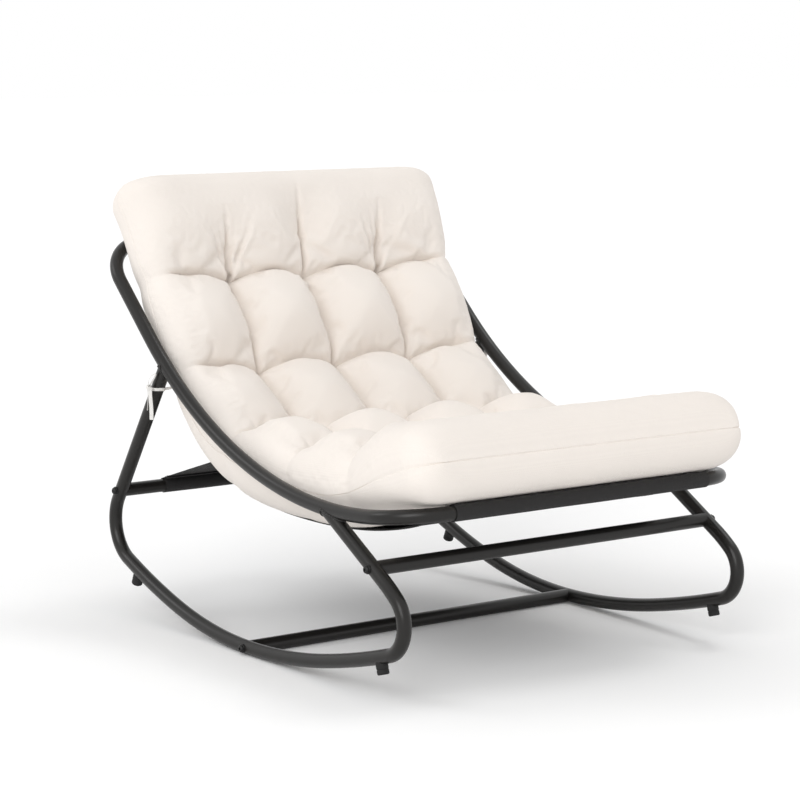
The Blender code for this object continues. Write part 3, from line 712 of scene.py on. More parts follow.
def seat(obj: Object, finish: Finish, slot: str, *nodes: str) -> Object:
    """Finish a piece and fix it to the chair's body.

    Args:
        obj: The modelled piece.
        finish: Its finish.
        slot: The record's material slot that it takes.
        *nodes: The CAD nodes that it stands for.

    Returns:
        The piece.
    """
    finish.dress(obj)
    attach(obj, BODY)
    if nodes:
        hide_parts(*nodes)
    LOG.info("%s: %d faces", obj.name, len(obj.data.polygons))
    return obj


# Tube frame
@dataclass(frozen=True)
class RockerEnd:
    """One end of the rocker's line, from the floor to the rail."""

    points: list[Vector]
    stop: Vector
    stop_heading: float
    leg: Vector
    rail_run: Vector

    @property
    def top(self) -> Vector:
        """Return where the leg's axis meets the rail's."""
        return self.points[-1]


@dataclass
class TubeFrame:
    """The side rails, rockers and crossbars, with their welds."""

    tube_radius: float = 0.0127
    side_x: float = 0.375
    rear_bow: tuple[Pair, ...] = ((0.95149, 15.7254), (1.448, 6.9746))
    rear_bends: tuple[Pair, ...] = ((0.077, 100.8),)
    rear_stop_setback: float = 0.045
    front_bow: tuple[Pair, ...] = ((1.27793, 11.0258), (1.974, 5.6742))
    front_bends: tuple[Pair, ...] = ((0.056, 123.6), (0.285, 9.3))
    front_stop_setback: float = 0.028
    front_rail: Pair = (-0.482, 0.320)
    front_rail_rise: float = 6.4
    corner_radius: float = 0.100
    corner_steps: int = 24
    seat_arc: Pair = (0.905, 49.1)
    back_straight: float = 0.145
    weld_radius: float = 0.0021
    weld_roundness: int = 5
    weld_ripples: int = 46
    weld_swell: float = 0.16
    rockers: dict[Side, Object] = field(init=False, default_factory=dict)
    rails: dict[Side, Object] = field(init=False, default_factory=dict)

    def __post_init__(self) -> None:
        """Work out the frame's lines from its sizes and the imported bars."""
        self.shift = box_middle("bottom_crossbar").y
        fall = -self.front_rail_rise
        start = Vector(self.front_rail) + self.corner_radius * heading_vector(fall)
        path = FlatPath(start, fall).arc(*self.seat_arc).line(self.back_straight)
        self.rail_path = path.points
        self.rail_heading = path.heading
        self.top_rail = path.points[-1] + self.corner_radius * heading_vector(path.heading)
        rear = self.trace_end(1.0, self.rear_bow, self.rear_stop_setback, self.rear_bends)
        front = self.trace_end(-1.0, self.front_bow, self.front_stop_setback, self.front_bends)
        self.ends = {End.REAR: rear, End.FRONT: front}
        self.rocker_path = list(reversed(rear.points)) + front.points[1:]

    def trace_end(self, way: float, bow: tuple[Pair, ...], setback: float,
                  bends: tuple[Pair, ...]) -> RockerEnd:
        """Trace the rocker's line from its lowest point up to the rail at one end.

        Args:
            way: 1 for the rear end and -1 for the front end.
            bow: The bow's arcs, from the floor on.
            setback: How far the stop lies from the end of the bow.
            bends: The bends that turn the tube up to the rail.

        Returns:
            The line and the places along it.
        """
        path = FlatPath(Vector((0.0, self.tube_radius)), 90.0 - way * 90.0)
        for radius, turn in bow:
            path.arc(radius, way * turn)
        stop = path.points[-1] - setback * heading_vector(path.heading)
        stop_heading = path.heading - way * 90.0
        for radius, turn in bends:
            path.arc(radius, way * turn)
        leg = heading_vector(path.heading)
        reach, rail_run = crossing(path.points[-1], leg, self.rail_path)
        path.line(reach)
        return RockerEnd(path.points, stop, stop_heading, leg, rail_run)

    def place(self, x: float, point: Vector) -> Vector:
        """Return a (y, z) point of the side plane at x, in the chair's own frame."""
        return Vector((x, point.x + self.shift, point.y))

    def at_side(self, side: Side, point: Vector) -> Vector:
        """Return a (y, z) point in the plane of one side's tubes."""
        return self.place(side.value * self.side_x, point)

    def rail_line(self, side: Side) -> list[Vector]:
        """Return a side rail's line from the split top rail to the split front rail.

        Args:
            side: The side of the chair.

        Returns:
            The 3-D points.
        """
        runs = []
        ends = ((self.rail_path[-1], self.rail_heading),
                (self.rail_path[0], 180.0 - self.front_rail_rise))
        for end, heading in ends:
            start = self.at_side(side, end)
            along = upright(heading_vector(heading))
            bend = []
            for inset, rise in quarter_turn(self.corner_steps):
                bend.append(start + self.corner_radius * (rise * along - inset * side.outward))
            middle = bend[-1].copy()
            middle.x = 0.0
            runs.append(bend + [middle])
        top, front = runs
        curve = [self.at_side(side, point) for point in reversed(self.rail_path[1:-1])]
        return list(reversed(top)) + curve + front

    def weld_line(self, side: Side, end: RockerEnd) -> list[Vector]:
        """Return the ring where a rocker's leg meets the rail.

        Args:
            side: The side of the chair.
            end: The end of the rocker.

        Returns:
            The 3-D points of the closed ring, four to a ripple.
        """
        down = -end.leg
        across = left_of(down)
        off = left_of(end.rail_run)
        if off.dot(down) < 0:
            off = -off
        points = []
        radius = self.tube_radius
        count = 4 * self.weld_ripples
        for index in range(count):
            angle = 2 * pi * index / count
            lift = radius * (abs(sin(angle)) - sin(angle) * across.dot(off)) / down.dot(off)
            flat = end.top + radius * sin(angle) * across + lift * down
            points.append(self.at_side(side, flat) + Vector((radius * cos(angle), 0.0, 0.0)))
        return points

    def build_rails(self) -> None:
        """Model the two side rails."""
        for side in Side:
            name = f"{side.word}_side_rail"
            rail = swept(f"{side.word}_rail_tube", self.rail_line(side), self.tube_radius)
            smooth(rail, TUBE_CREASE)
            self.rails[side] = seat(rail, Finish.POWDER_COAT, name, name)

    def build_rockers(self) -> None:
        """Model the rockers, coped to the rails, with a rippled weld at each joint."""
        for side in Side:
            name = f"{side.word}_rocker"
            line = [self.at_side(side, point) for point in self.rocker_path]
            rocker = swept(f"{side.word}_rocker_tube", line, self.tube_radius)
            cut_away(rocker, self.rails[side])
            smooth(rocker, TUBE_CREASE)
            self.rockers[side] = seat(rocker, Finish.POWDER_COAT, name, name)
            for end, traced in self.ends.items():
                ring = self.weld_line(side, traced)
                swell = [1.0 + self.weld_swell * sin(pi * index / 2) for index in range(len(ring))]
                weld = swept(f"{side.word}_{end.value}_weld", ring, self.weld_radius,
                             self.weld_roundness, True, swell)
                smooth(weld, SOFT_CREASE)
                seat(weld, Finish.POWDER_COAT, name)

    def build_crossbars(self) -> None:
        """Model the crossbars, fish-mouthed to the rockers."""
        for bar in Bar:
            name = f"{bar.value}_crossbar"
            piece = f"{bar.value}_bar_tube"
            middle = box_middle(name)
            ends = [Vector((x, middle.y, middle.z)) for x in (-self.side_x, self.side_x)]
            tube = swept(piece, ends, self.tube_radius)
            for rocker in self.rockers.values():
                cut_away(tube, rocker)
            with editing(tube):
                bpy.ops.mesh.separate(type="LOOSE")
            shells = list(bpy.context.selected_objects)
            shells.sort(key=lambda shell: shell.dimensions.x, reverse=True)
            tube = shells[0]
            for scrap in shells[1:]:
                bpy.data.objects.remove(scrap)
            tube.name = piece
            smooth(tube, TUBE_CREASE)
            seat(tube, Finish.POWDER_COAT, name, name)

    def build(self) -> None:
        """Model and dress the whole frame."""
        self.build_rails()
        self.build_rockers()
        self.build_crossbars()


@dataclass
class Fastenings:
    """The crossbar bolts with their saddle washers, and the hidden fittings."""

    frame: TubeFrame
    head_radius: float = 0.00675
    head_height: float = 0.0050
    head_land: float = 0.0012
    head_chamfer: float = 0.0003
    dome_share: float = 0.62
    dome_steps: int = 8
    shank_radius: float = 0.0040
    shank_chamfer: float = 0.0006
    socket_flats: float = 0.0050
    socket_depth: float = 0.0026
    edge_bevel: float = 0.00018
    washer_radius: float = 0.0080
    washer_hole: float = 0.0043
    washer_chamfer: float = 0.0005
    washer_root: float = 0.25

    def bolt_pattern(self, length: float) -> Object:
        """Model one button-head bolt along +Z, its head's top at zero.

        Args:
            length: The bolt's full length.

        Returns:
            The pattern to copy.
        """
        shank = self.shank_radius
        dome = self.head_height - self.head_land
        profile = [(0.0, -length), (shank - self.shank_chamfer, -length)]
        profile += [(shank, -length + self.shank_chamfer), (shank, -self.head_height)]
        profile += [(self.head_radius - self.head_chamfer, -self.head_height)]
        for inset, rise in quarter_turn(self.dome_steps):
            profile.append((self.head_radius * (1.0 - self.dome_share * inset), dome * (rise - 1.0)))
        profile += [(0.0, 0.0)]
        bolt = turned("bolt_pattern", profile)
        cutter = added("socket_cutter", bpy.ops.mesh.primitive_cylinder_add, vertices=6,
                       radius=self.socket_flats / 2 / cos(pi / 6), depth=2 * self.socket_depth,
                       location=(0.0, 0.0, 0.0))
        cut_away(bolt, cutter)
        bpy.data.objects.remove(cutter)
        apply_modifier(bolt, "BEVEL", width=self.edge_bevel, segments=2, limit_method="ANGLE",
                       angle_limit=radians(FITTING_CREASE))
        smooth(bolt, FITTING_CREASE)
        return bolt

    def build_bolts(self) -> None:
        """Model the six bolts and washers."""
        low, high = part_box("left_front_bolt")
        length = high.x - low.x
        pattern = self.bolt_pattern(length)
        for side in Side:
            for bar in Bar:
                label = f"{side.word}_{bar.value}"
                node = f"{label}_bolt"
                tip = box_middle(node) + length / 2 * side.outward
                bolt = copied(pattern, f"{label}_socket_bolt", aimed(tip, side.outward))
                seat(bolt, Finish.BLACK_STEEL, node, node)
                self.build_washer(side, label, tip)
        bpy.data.objects.remove(pattern)

    def build_washer(self, side: Side, label: str, tip: Vector) -> None:
        """Model one saddle washer between a bolt's head and the rocker, less what its cut leaves inside.

        Args:
            side: The side of the chair.
            label: The joint's name.
            tip: The top of the bolt's head.
        """
        top = -self.head_height
        root = self.frame.side_x - abs(tip.x)
        rim = self.washer_radius
        chamfer = self.washer_chamfer
        profile = [(self.washer_hole, root), (rim, root), (rim, top - chamfer)]
        profile += [(rim - chamfer, top), (self.washer_hole, top)]
        washer = turned(f"{label}_saddle_washer", profile)
        washer.data.transform(aimed(tip, side.outward))
        cut_away(washer, self.frame.rockers[side])
        limit = self.frame.side_x + self.washer_root * self.frame.tube_radius
        with editing(washer):
            bpy.ops.mesh.select_all(action="DESELECT")
            shape = bmesh.from_edit_mesh(washer.data)
            for vert in shape.verts:
                vert.select_set(side.value * vert.co.x < limit)
            bpy.ops.mesh.delete(type="VERT")
        smooth(washer, FITTING_CREASE)
        seat(washer, Finish.BLACK_STEEL, f"{label}_washer", f"{label}_washer")

    def dress_hidden(self, nodes: dict[str, Object]) -> None:
        """Give the fittings that stay as CAD solids their finishes.

        Args:
            nodes: The frame's nodes by name.
        """
        for name, node in nodes.items():
            if name.endswith(("_insert", "_joiner")):
                Finish.ZINC_STEEL.dress(node)
            elif name.endswith("_joiner_screw"):
                Finish.BLACK_STEEL.dress(node)


@dataclass
class RockerStops:
    """The rubber stops pressed into the underside of the rockers' ends."""

    frame: TubeFrame
    radius: float = 0.0105
    height: float = 0.017
    root_share: float = 0.35
    waist_share: float = 0.45
    rounding: float = 0.0028
    rounding_steps: int = 6
    groove_depth: float = 0.0009
    groove_half: float = 0.0012
    dimple_share: Pair = (0.45, 0.40)
    dimple_depth: float = 0.0012

    def stop_pattern(self) -> Object:
        """Model one stop along +Z, from the axis of its tube.

        Returns:
            The pattern to copy.
        """
        tube = self.frame.tube_radius
        root = self.root_share * tube
        waist = tube + self.waist_share * self.height
        bottom = tube + self.height
        floor = bottom - self.dimple_depth
        wide, narrow = self.dimple_share
        profile = [(0.0, root), (self.radius, root), (self.radius, waist - self.groove_half)]
        profile += [(self.radius - self.groove_depth, waist), (self.radius, waist + self.groove_half)]
        for inset, rise in quarter_turn(self.rounding_steps):
            profile.append((self.radius - self.rounding * inset, bottom - self.rounding * (1.0 - rise)))
        profile += [(wide * self.radius, bottom), (narrow * self.radius, floor), (0.0, floor)]
        return turned("stop_pattern", profile)

    def build(self) -> None:
        """Model the four stops."""
        pattern = self.stop_pattern()
        for side in Side:
            for end in reversed(End):
                traced = self.frame.ends[end]
                direction = upright(heading_vector(traced.stop_heading))
                matrix = aimed(self.frame.at_side(side, traced.stop), direction)
                name = f"{side.word}_{end.value}_stop"
                stop = copied(pattern, f"{name}_plug", matrix)
                cut_away(stop, self.frame.rockers[side])
                smooth(stop, FITTING_CREASE)
                seat(stop, Finish.RUBBER, name, name)
        bpy.data.objects.remove(pattern)


# Cloth
@dataclass
class Sling:
    """The black sling with its sleeves, the lumbar panel and their stitching.

    The fields named for layers are in thicknesses of the cloth.
    """

    frame: TubeFrame
    thickness: float = 0.0014
    width: float = 0.564
    low: Pair = (-0.075, 0.246)
    top_angle: float = 66.0
    top_pull: float = 0.453
    hip_pull: float = 0.291
    seat_pull: float = 0.211
    front_angle: float = 40.5
    front_pull: float = 0.068
    back_steps: int = 120
    seat_steps: int = 80
    columns: int = 40
    row_step: float = 0.0028
    ripple: float = 0.0004
    ripple_scale: Pair = (9.0, 6.0)
    ripple_reach: float = 0.004
    sleeve_gap: float = 0.0005
    sleeve_mouth_layers: float = 2.3
    sleeve_steps: int = 48
    hem: float = 0.018
    hem_steps: int = 6
    hem_rows: Pair = (0.45, 0.80)
    hem_row_layers: float = 1.55
    hem_row_margin: float = 0.004
    side_hem: float = 0.013
    side_hem_trim: float = 0.030
    side_hem_columns: int = 4
    side_hem_step: float = 0.006
    side_hem_reach: float = 0.010
    side_hem_drop_layers: float = 1.06
    side_hem_layers: float = 0.9
    side_row_step: float = 0.020
    side_row_inset: float = 0.25
    side_row_layers: float = 0.55
    panel_width: float = 0.564
    panel_columns: int = 32
    panel_steps: int = 60
    panel_seam_share: float = 0.525
    panel_gap: float = 0.0003
    panel_flap: float = 0.030
    panel_flap_steps: int = 6
    stitch_pitch: float = 0.0046
    stitch_length: float = 0.0033
    stitch_radius: float = 0.00042
    stitch_sides: int = 6
    stitch_rings: tuple[Pair, ...] = ((-1.0, 0.25), (-0.55, 1.0), (0.55, 1.0), (1.0, 0.25))
    stitches: list[tuple[Vector, Vector, Vector]] = field(init=False, default_factory=list)

    def __post_init__(self) -> None:
        """Work out the sling's profile."""
        self.sleeve_radius = self.frame.tube_radius + self.sleeve_gap + self.thickness / 2
        self.down = -heading_vector(self.top_angle)
        self.back = heading_vector(-self.front_angle)
        out = heading_vector(90.0 - self.front_angle)
        self.top_start = self.frame.top_rail + self.sleeve_radius * heading_vector(self.top_angle + 90.0)
        self.front_end = Vector(self.frame.front_rail) + self.sleeve_radius * out
        self.back_curve, self.seat_curve = self.hang(self.top_start, Vector(self.low), self.front_end,
                                                     self.front_pull * self.back)

    def hang(self, top: Vector, low: Vector, front: Vector,
             pull: Vector) -> tuple[list[Vector], list[Vector]]:
        """Return the line that hangs between two rails, which the cushion follows too.

        Args:
            top: Where the back starts.
            low: The lowest point.
            front: Where the seat ends.
            pull: The way and the strength with which the seat leaves its front end.

        Returns:
            The points down the back, and those along the seat.
        """
        hip = low + self.hip_pull * LEVEL
        thigh = low - self.seat_pull * LEVEL
        back = bezier([top, top + self.top_pull * self.down, hip, low], self.back_steps)
        return back, bezier([low, thigh, front + pull, front], self.seat_steps)

    def sleeve(self, centre: Vector, touch: Vector, run: Vector, clockwise: bool) -> list[Vector]:
        """Return the points of a sewn sleeve round a tube, from the sheet to its hem.

        Args:
            centre: The tube's axis.
            touch: Where the sheet first touches the sleeve.
            run: The direction of the hem along the sheet.
            clockwise: The way that the sleeve goes round.

        Returns:
            The (y, z) points.
        """
        first = atan2(touch.y - centre.y, touch.x - centre.x)
        mouth = self.sleeve_mouth_layers * self.thickness
        turn = 2 * pi - sqrt(2 * mouth / self.sleeve_radius)
        if clockwise:
            turn = -turn
        points = []
        for index in range(1, self.sleeve_steps + 1):
            angle = first + turn * index / self.sleeve_steps
            points.append(centre + self.sleeve_radius * Vector((cos(angle), sin(angle))))
        closed = points[-1]
        for index in range(1, self.hem_steps + 1):
            points.append(closed + self.hem * index / self.hem_steps * run)
        return points

    def grid(self, name: str, columns: int, rows: int, width: float, length: float) -> Object:
        """Add a grid from (-0.5, -0.5) to (0.5, 0.5) to be laid out as cloth.

        Args:
            name: The cloth's name.
            columns: The grid's columns.
            rows: The grid's rows.
            width: The cloth's width, for its UV map in metres.
            length: The cloth's length, for the same.

        Returns:
            The grid.
        """
        cloth = added(name, bpy.ops.mesh.primitive_grid_add, x_subdivisions=columns,
                      y_subdivisions=rows, size=1.0)
        for loop in cloth.data.uv_layers.active.data:
            loop.uv = (loop.uv[0] * width, loop.uv[1] * length)
        return cloth

    def thicken(self, cloth: Object, layers: float) -> None:
        """Give a laid cloth its thickness, in layers, and shade it."""
        apply_modifier(cloth, "SOLIDIFY", thickness=layers * self.thickness, offset=0.0)
        smooth(cloth, SHEET_CREASE)

    def sheet(self, name: str, line: list[Vector], width: float, columns: int) -> Object:
        """Lay a grid along a line as one sheet of cloth.

        Args:
            name: The sheet's name.
            line: The (y, z) points along it.
            width: Its width.
            columns: The grid's columns.

        Returns:
            The sheet, as thick as the cloth.
        """
        path = Measured(line)
        sheet = self.grid(name, columns, round(path.length / self.row_step), width, path.length)
        wide, far = self.ripple_scale
        for vert in sheet.data.vertices:
            distance = (vert.co.y + 0.5) * path.length
            x = vert.co.x * width
            ripple = self.ripple * noise.noise(Vector((wide * x, far * distance, 0.0)))
            flat = path.at(distance) + ripple * path.normal(distance, self.ripple_reach)
            vert.co = self.frame.place(x, flat)
        self.thicken(sheet, 1.0)
        return sheet

    def sew(self, start: Vector, end: Vector, normal: Vector) -> None:
        """Add a straight row of stitches.

        Args:
            start: The row's first point.
            end: Its last point.
            normal: The direction out of the cloth.
        """
        run = end - start
        along = run.normalized()
        out = (normal - normal.dot(along) * along).normalized()
        distance = 0.0
        while distance < run.length:
            self.stitches.append((start + distance * along, along, out))
            distance += self.stitch_pitch

    def sew_sleeve(self, start: Vector, run: Vector, outward: Vector, width: float) -> None:
        """Sew two rows across the cloth beside a sleeve.

        Args:
            start: The (y, z) point where the sheet leaves the sleeve.
            run: The direction along the sheet, away from the sleeve.
            outward: The side of the sheet that shows.
            width: The cloth's width.
        """
        half = width / 2 - self.hem_row_margin
        lift = self.hem_row_layers * self.thickness
        for share in self.hem_rows:
            flat = start + share * self.hem * run + lift * outward
            self.sew(self.frame.place(-half, flat), self.frame.place(half, flat), upright(outward))

    def build_stitches(self) -> None:
        """Model every stitch as one small faceted lens, all in one piece."""
        thread = bmesh.new()
        half = self.stitch_length / 2
        sides = range(self.stitch_sides)
        for centre, along, out in self.stitches:
            across = along.cross(out)
            rings = []
            for share, swell in self.stitch_rings:
                middle = centre + share * half * along
                ring = []
                for index in sides:
                    angle = 2 * pi * index / self.stitch_sides
                    offset = self.stitch_radius * swell * (cos(angle) * across + sin(angle) * out)
                    ring.append(thread.verts.new(middle + offset))
                rings.append(ring)
            for first, second in zip(rings, rings[1:]):
                for index in sides:
                    after = (index + 1) % self.stitch_sides
                    thread.faces.new((first[index], first[after], second[after], second[index]))
            thread.faces.new(rings[0])
            thread.faces.new(rings[-1])
        bmesh.ops.recalc_face_normals(thread, faces=thread.faces)
        obj = mesh_object("sling_stitches", thread)
        smooth(obj, SOFT_CREASE)
        seat(obj, Finish.SLING_THREAD, "seat_sling")

    def build_sling(self) -> None:
        """Model the sling from sleeve to sleeve, with its side hems."""
        top = self.sleeve(self.frame.top_rail, self.top_start, self.down, True)
        front = self.sleeve(Vector(self.frame.front_rail), self.front_end, self.back, False)
        line = list(reversed(top)) + self.back_curve + self.seat_curve[1:] + front
        sheet = self.sheet("sling_cloth", line, self.width, self.columns)
        hems = [self.side_hem_strip(side) for side in Side]
        seat(sheet, Finish.SLING_CLOTH, "seat_sling", "seat_sling")
        for strip in hems:
            seat(strip, Finish.SLING_CLOTH, "seat_sling")
        Measured(line).length
        behind = heading_vector(self.top_angle - 90.0)
        under = -heading_vector(90.0 - self.front_angle)
        self.sew_sleeve(self.top_start, self.down, behind, self.width)
        self.sew_sleeve(self.front_end, self.back, under, self.width)

    def side_hem_strip(self, side: Side) -> Object:
        """Model one folded side hem under the sling's edge, and sew it.

        Args:
            side: The side of the chair.

        Returns:
            The strip.
        """
        path = Measured(self.back_curve + self.seat_curve[1:])
        reach = self.side_hem_reach
        trim = self.side_hem_trim
        length = path.length - 2 * trim
        strip = self.grid(f"{side.word}_sling_hem", self.side_hem_columns,
                          round(length / self.side_hem_step), self.side_hem, length)
        drop = self.side_hem_drop_layers * self.thickness
        edge = (self.width - self.side_hem) / 2
        for vert in strip.data.vertices:
            distance = trim + (vert.co.y + 0.5) * length
            flat = path.at(distance) + drop * path.normal(distance, reach)
            vert.co = self.frame.place(side.value * edge + vert.co.x * self.side_hem, flat)
        self.thicken(strip, self.side_hem_layers)
        x = side.value * (edge - self.side_row_inset * self.side_hem)
        lift = drop + self.side_row_layers * self.thickness
        count = round(length / self.side_row_step)
        distances = [trim + length * index / count for index in range(count + 1)]
        normals = [path.normal(distance, reach) for distance in distances]
        row = []
        for distance, normal in zip(distances, normals):
            row.append(self.frame.place(x, path.at(distance) + lift * normal))
        for first, second, normal in zip(row, row[1:], normals):
            self.sew(first, second, upright(normal))
        return strip

    def build_panel(self) -> None:
        """Model the lumbar panel from the sling's back to its sleeve on the rear crossbar."""
        index = int(self.panel_seam_share * (len(self.back_curve) - 1))
        run = (self.back_curve[index + 1] - self.back_curve[index]).normalized()
        behind = left_of(run)
        if behind.x < 0:
            behind = -behind
        start = self.back_curve[index] + (self.thickness + self.panel_gap) * behind
        middle = box_middle("rear_crossbar")
        bar = Vector((middle.y - self.frame.shift, middle.z))
        away = start - bar
        lean = atan2(away.y, away.x) - acos(self.sleeve_radius / away.length)
        touch = bar + self.sleeve_radius * Vector((cos(lean), sin(lean)))
        pull = (start - touch).normalized()
        left = [1 - step / self.panel_flap_steps for step in range(self.panel_flap_steps)]
        line = [start - self.panel_flap * share * run for share in left]
        line += [start.lerp(touch, step / self.panel_steps) for step in range(self.panel_steps + 1)]
        line += self.sleeve(bar, touch, pull, True)
        panel =self.sheet("lumbar_panel_cloth", line, self.panel_width, self.panel_columns)
        seat(panel, Finish.SLING_CLOTH, "lumbar_panel", "lumbar_panel")
        Measured(line).length
        upper = left_of(pull)
        if upper.y < 0:
            upper = -upper
        self.sew_sleeve(touch, pull, upper, self.panel_width)

    def build(self) -> None:
        """Model and dress all of the cloth under the cushion."""
        self.build_sling()
        self.build_panel()
        self.build_stitches()


@dataclass(frozen=True)
class Grip:
    """How firmly a part of the cover is held while it is puffed."""

    firmness: float
    zone: Pair

    def at(self, gap: float) -> float:
        """Return the hold at a gap from what is held, over a zone from loose to firm."""
        return self.firmness * eased(gap, self.zone)


@dataclass(frozen=True)
class Pleat:
    """One pleat on the cover, from a tuft outwards."""

    start: Vector
    run: Vector
    length: float
    width: float
    depth: float


@dataclass(frozen=True)
class PleatKind:
    """The range that a tuft's pleats are chosen from, each from lowest to highest."""

    jitter: Pair
    lengths: Pair
    depths: Pair
    widths: Pair = (0.0042, 0.0060)


@dataclass
class Cushion:
    """The tufted cushion: two quilted panels sewn together round their edge.

    Zones along it are shares of its length from the crest. Zones in a row of tufts are
    shares of the row, and those across run from 0 in the middle to 1 at the edge.
    """

    frame: TubeFrame
    sling: Sling
    width: float = 0.746
    waist: float = 0.018
    waist_power: int = 6
    slim: float = 0.003
    sway: float = 0.006
    upper_zone: Pair = (0.40, 0.15)
    back_thickness: float = 0.154
    seat_thickness: float = 0.164
    hip_zone: Pair = (0.35, 0.65)
    front_thinning: float = 0.024
    front_thin_zone: Pair = (0.85, 1.0)
    crest_thinning: float = 0.008
    crest_thin_zone: Pair = (0.14, 0.0)
    crest: float = 0.080
    crest_angle: float = 60.0
    top_lift: float = 0.0028
    lift: float = 0.0014
    front_overhang: float = 0.058
    front_angle: float = 18.0
    front_pull: float = 0.180
    end_rounding: float = 0.060
    side_rounding: float = 0.085
    squareness: float = 2.5
    edge_samples: int = 2000
    edge_steps: int = 18
    seam_steps: tuple[float, ...] = (0.0, 0.012, 0.028, 0.05)
    top_roundness: float = 1.25
    under_roundness: float = 1.9
    under_zone: Pair = (0.16, 0.32)
    front_top_roundness: float = 0.70
    front_under_roundness: float = 1.05
    boxed_zone: Pair = (0.83, 0.94)
    crest_corner: float = 0.048
    front_corner: float = 0.056
    back_seam: float = 0.50
    side_seam: float = 0.38
    side_seam_zone: Pair = (0.60, 0.80)
    front_seam: float = 0.45
    front_seam_zone: Pair = (0.84, 0.98)
    seam_pinch: float = 0.0024
    pucker: float = 0.0013
    pucker_scale: tuple[float, float, float] = (34.0, 20.0, 3.1)
    normal_reach: float = 0.070
    rows: tuple[float, ...] = (0.0, 0.159, 0.312, 0.508, 0.6735, 0.829, 1.0)
    columns: tuple[float, ...] = (0.25, 0.50, 0.75)
    outer_column: float = 0.75
    row_crease: float = 0.050
    row_fade: float = 0.55
    row_fade_zone: Pair = (0.80, 0.97)
    column_crease: float = 0.048
    middle_column: float = 0.25
    middle_start_zone: Pair = (0.12, 0.67)
    outer_start_zone: Pair = (0.30, 0.85)
    front_column_share: float = 0.60
    front_column_zone: Pair = (0.80, 0.20)
    cross_share: float = 0.45
    slit: float = 0.013
    slit_wave: float = 0.03
    crease_power: float = 0.50
    dome_share: float = 0.42
    tuft_pit: float = 0.012
    pit_power: int = 4
    arch: float = 0.017
    arch_zone: Pair = (0.0, 0.12)
    notch: float = 0.005
    notch_reach: float = 0.022
    grid_step: float = 0.0066
    tuft_grip: Grip = Grip(1.0, (0.018, 0.006))
    seam_grip: Grip = Grip(1.0, (0.55, 0.05))
    crest_grip: Grip = Grip(0.92, (0.24, 0.02))
    front_grip: Grip = Grip(0.90, (0.16, 0.07))
    side_grip: Grip = Grip(0.60, (0.07, 0.02))
    crease_grip: Grip = Grip(0.95, (0.0088, 0.0))
    row_slack: float = 0.006
    crest_slack: float = 0.008
    crest_slack_zone: Pair = (0.70, 0.25)
    puff_frames: int = 20
    puff_cap: float = 0.026
    puff_pressure: float = 4.0
    puff_growth: float = 0.042
    cloth_quality: int = 5
    cloth_mass: float = 0.25
    tension: float = 18.0
    compression: float = 12.0
    shear: float = 6.0
    bending: float = 1.2
    seed: int = 11
    pleat_count: int = 5
    fan_spread: float = 62.0
    fan: PleatKind = PleatKind((-4.0, 4.0), (0.070, 0.120), (0.0050, 0.0080))
    tuck: PleatKind = PleatKind((-28.0, 28.0), (0.030, 0.060), (0.0020, 0.0036))
    tuck_headings: tuple[float, ...] = (45.0, 135.0, 225.0, 315.0)
    pleat_start: float = 0.012
    shoulder: float = 0.42
    shoulder_place: float = 1.8

    def __post_init__(self) -> None:
        """Work out the line that the cushion rests on."""
        lift = self.sling.thickness / 2 + self.lift
        reach = self.sling.sleeve_radius + lift
        top_reach = reach + self.top_lift
        rail = self.frame.top_rail
        back = heading_vector(-self.front_angle)
        low = Vector(self.sling.low) + Vector((0.0, lift))
        front = Vector(self.frame.front_rail) + reach * heading_vector(90.0 - self.front_angle)
        top = rail + top_reach * heading_vector(self.sling.top_angle + 90.0)
        rim = rail + top_reach * heading_vector(self.crest_angle + 90.0)
        crest = rim + self.crest * heading_vector(self.crest_angle)
        rear_part, front_part = self.sling.hang(top, low, front, self.front_pull * back)
        end = front - self.front_overhang * back
        self.rest = Measured([crest, rim] + rear_part + front_part[1:] + [end])
        self.rounding = self.rounded_edge()

    def rounded_edge(self) -> list[Pair]:
        """Return a quarter of a squarish ellipse in equal steps, from its seam to its top.

        Returns:
            Pairs of how far in the point lies and how high, both from 0 to 1.
        """
        power = 2 / self.squareness
        fine = []
        for index in range(self.edge_samples + 1):
            angle = pi / 2 * index / self.edge_samples
            fine.append(Vector((1.0 - cos(angle) ** power, sin(angle) ** power)))
        path = Measured(fine)
        last = self.seam_steps[-1]
        steps = [(index + 1) / self.edge_steps for index in range(self.edge_steps)]
        shares = list(self.seam_steps) + [last + (1.0 - last) * step for step in steps]
        return [tuple(path.at(share * path.length)) for share in shares]

    def spread(self, length: float, rounding: float, creases: list[float]) -> list[Pair]:
        """Return places over a length, close together at its rounded ends and one on each crease.

        Args:
            length: The whole length.
            rounding: How far in each end is rounded.
            creases: Where the creases lie.

        Returns:
            Pairs of a place and how full the cushion is there, from 0 at an end to 1.
        """
        first = [(rounding * inset, full) for inset, full in self.rounding]
        marks = [rounding] + creases + [length - rounding]
        middle = []
        for start, end in zip(marks, marks[1:]):
            count = round((end - start) / self.grid_step)
            middle += [(start + (end - start) * (index + 1) / count, 1.0) for index in range(count)]
        last = [(length - place, full) for place, full in reversed(first)]
        return first + middle[:-1] + last

    def half_width(self, distance: float) -> float:
        """Return half the width at a distance along, drawn in at its middle and at row ends.

        Args:
            distance: The distance from the crest.

        Returns:
            The half width.
        """
        share = distance / self.rest.length
        half = self.width / 2 - self.waist * (1 - (2 * share - 1) ** self.waist_power)
        half -= self.slim * eased(share, self.upper_zone)
        for row in self.rows[1:-1]:
            away = (share - row) * self.rest.length / self.notch_reach
            half -= self.notch * exp(-away * away)
        ends = ((distance, self.crest_corner), (self.rest.length - distance, self.front_corner))
        for inside, radius in ends:
            if inside < radius:
                half -= radius - sqrt(max(radius ** 2 - (radius - inside) ** 2, 0.0))
        return half

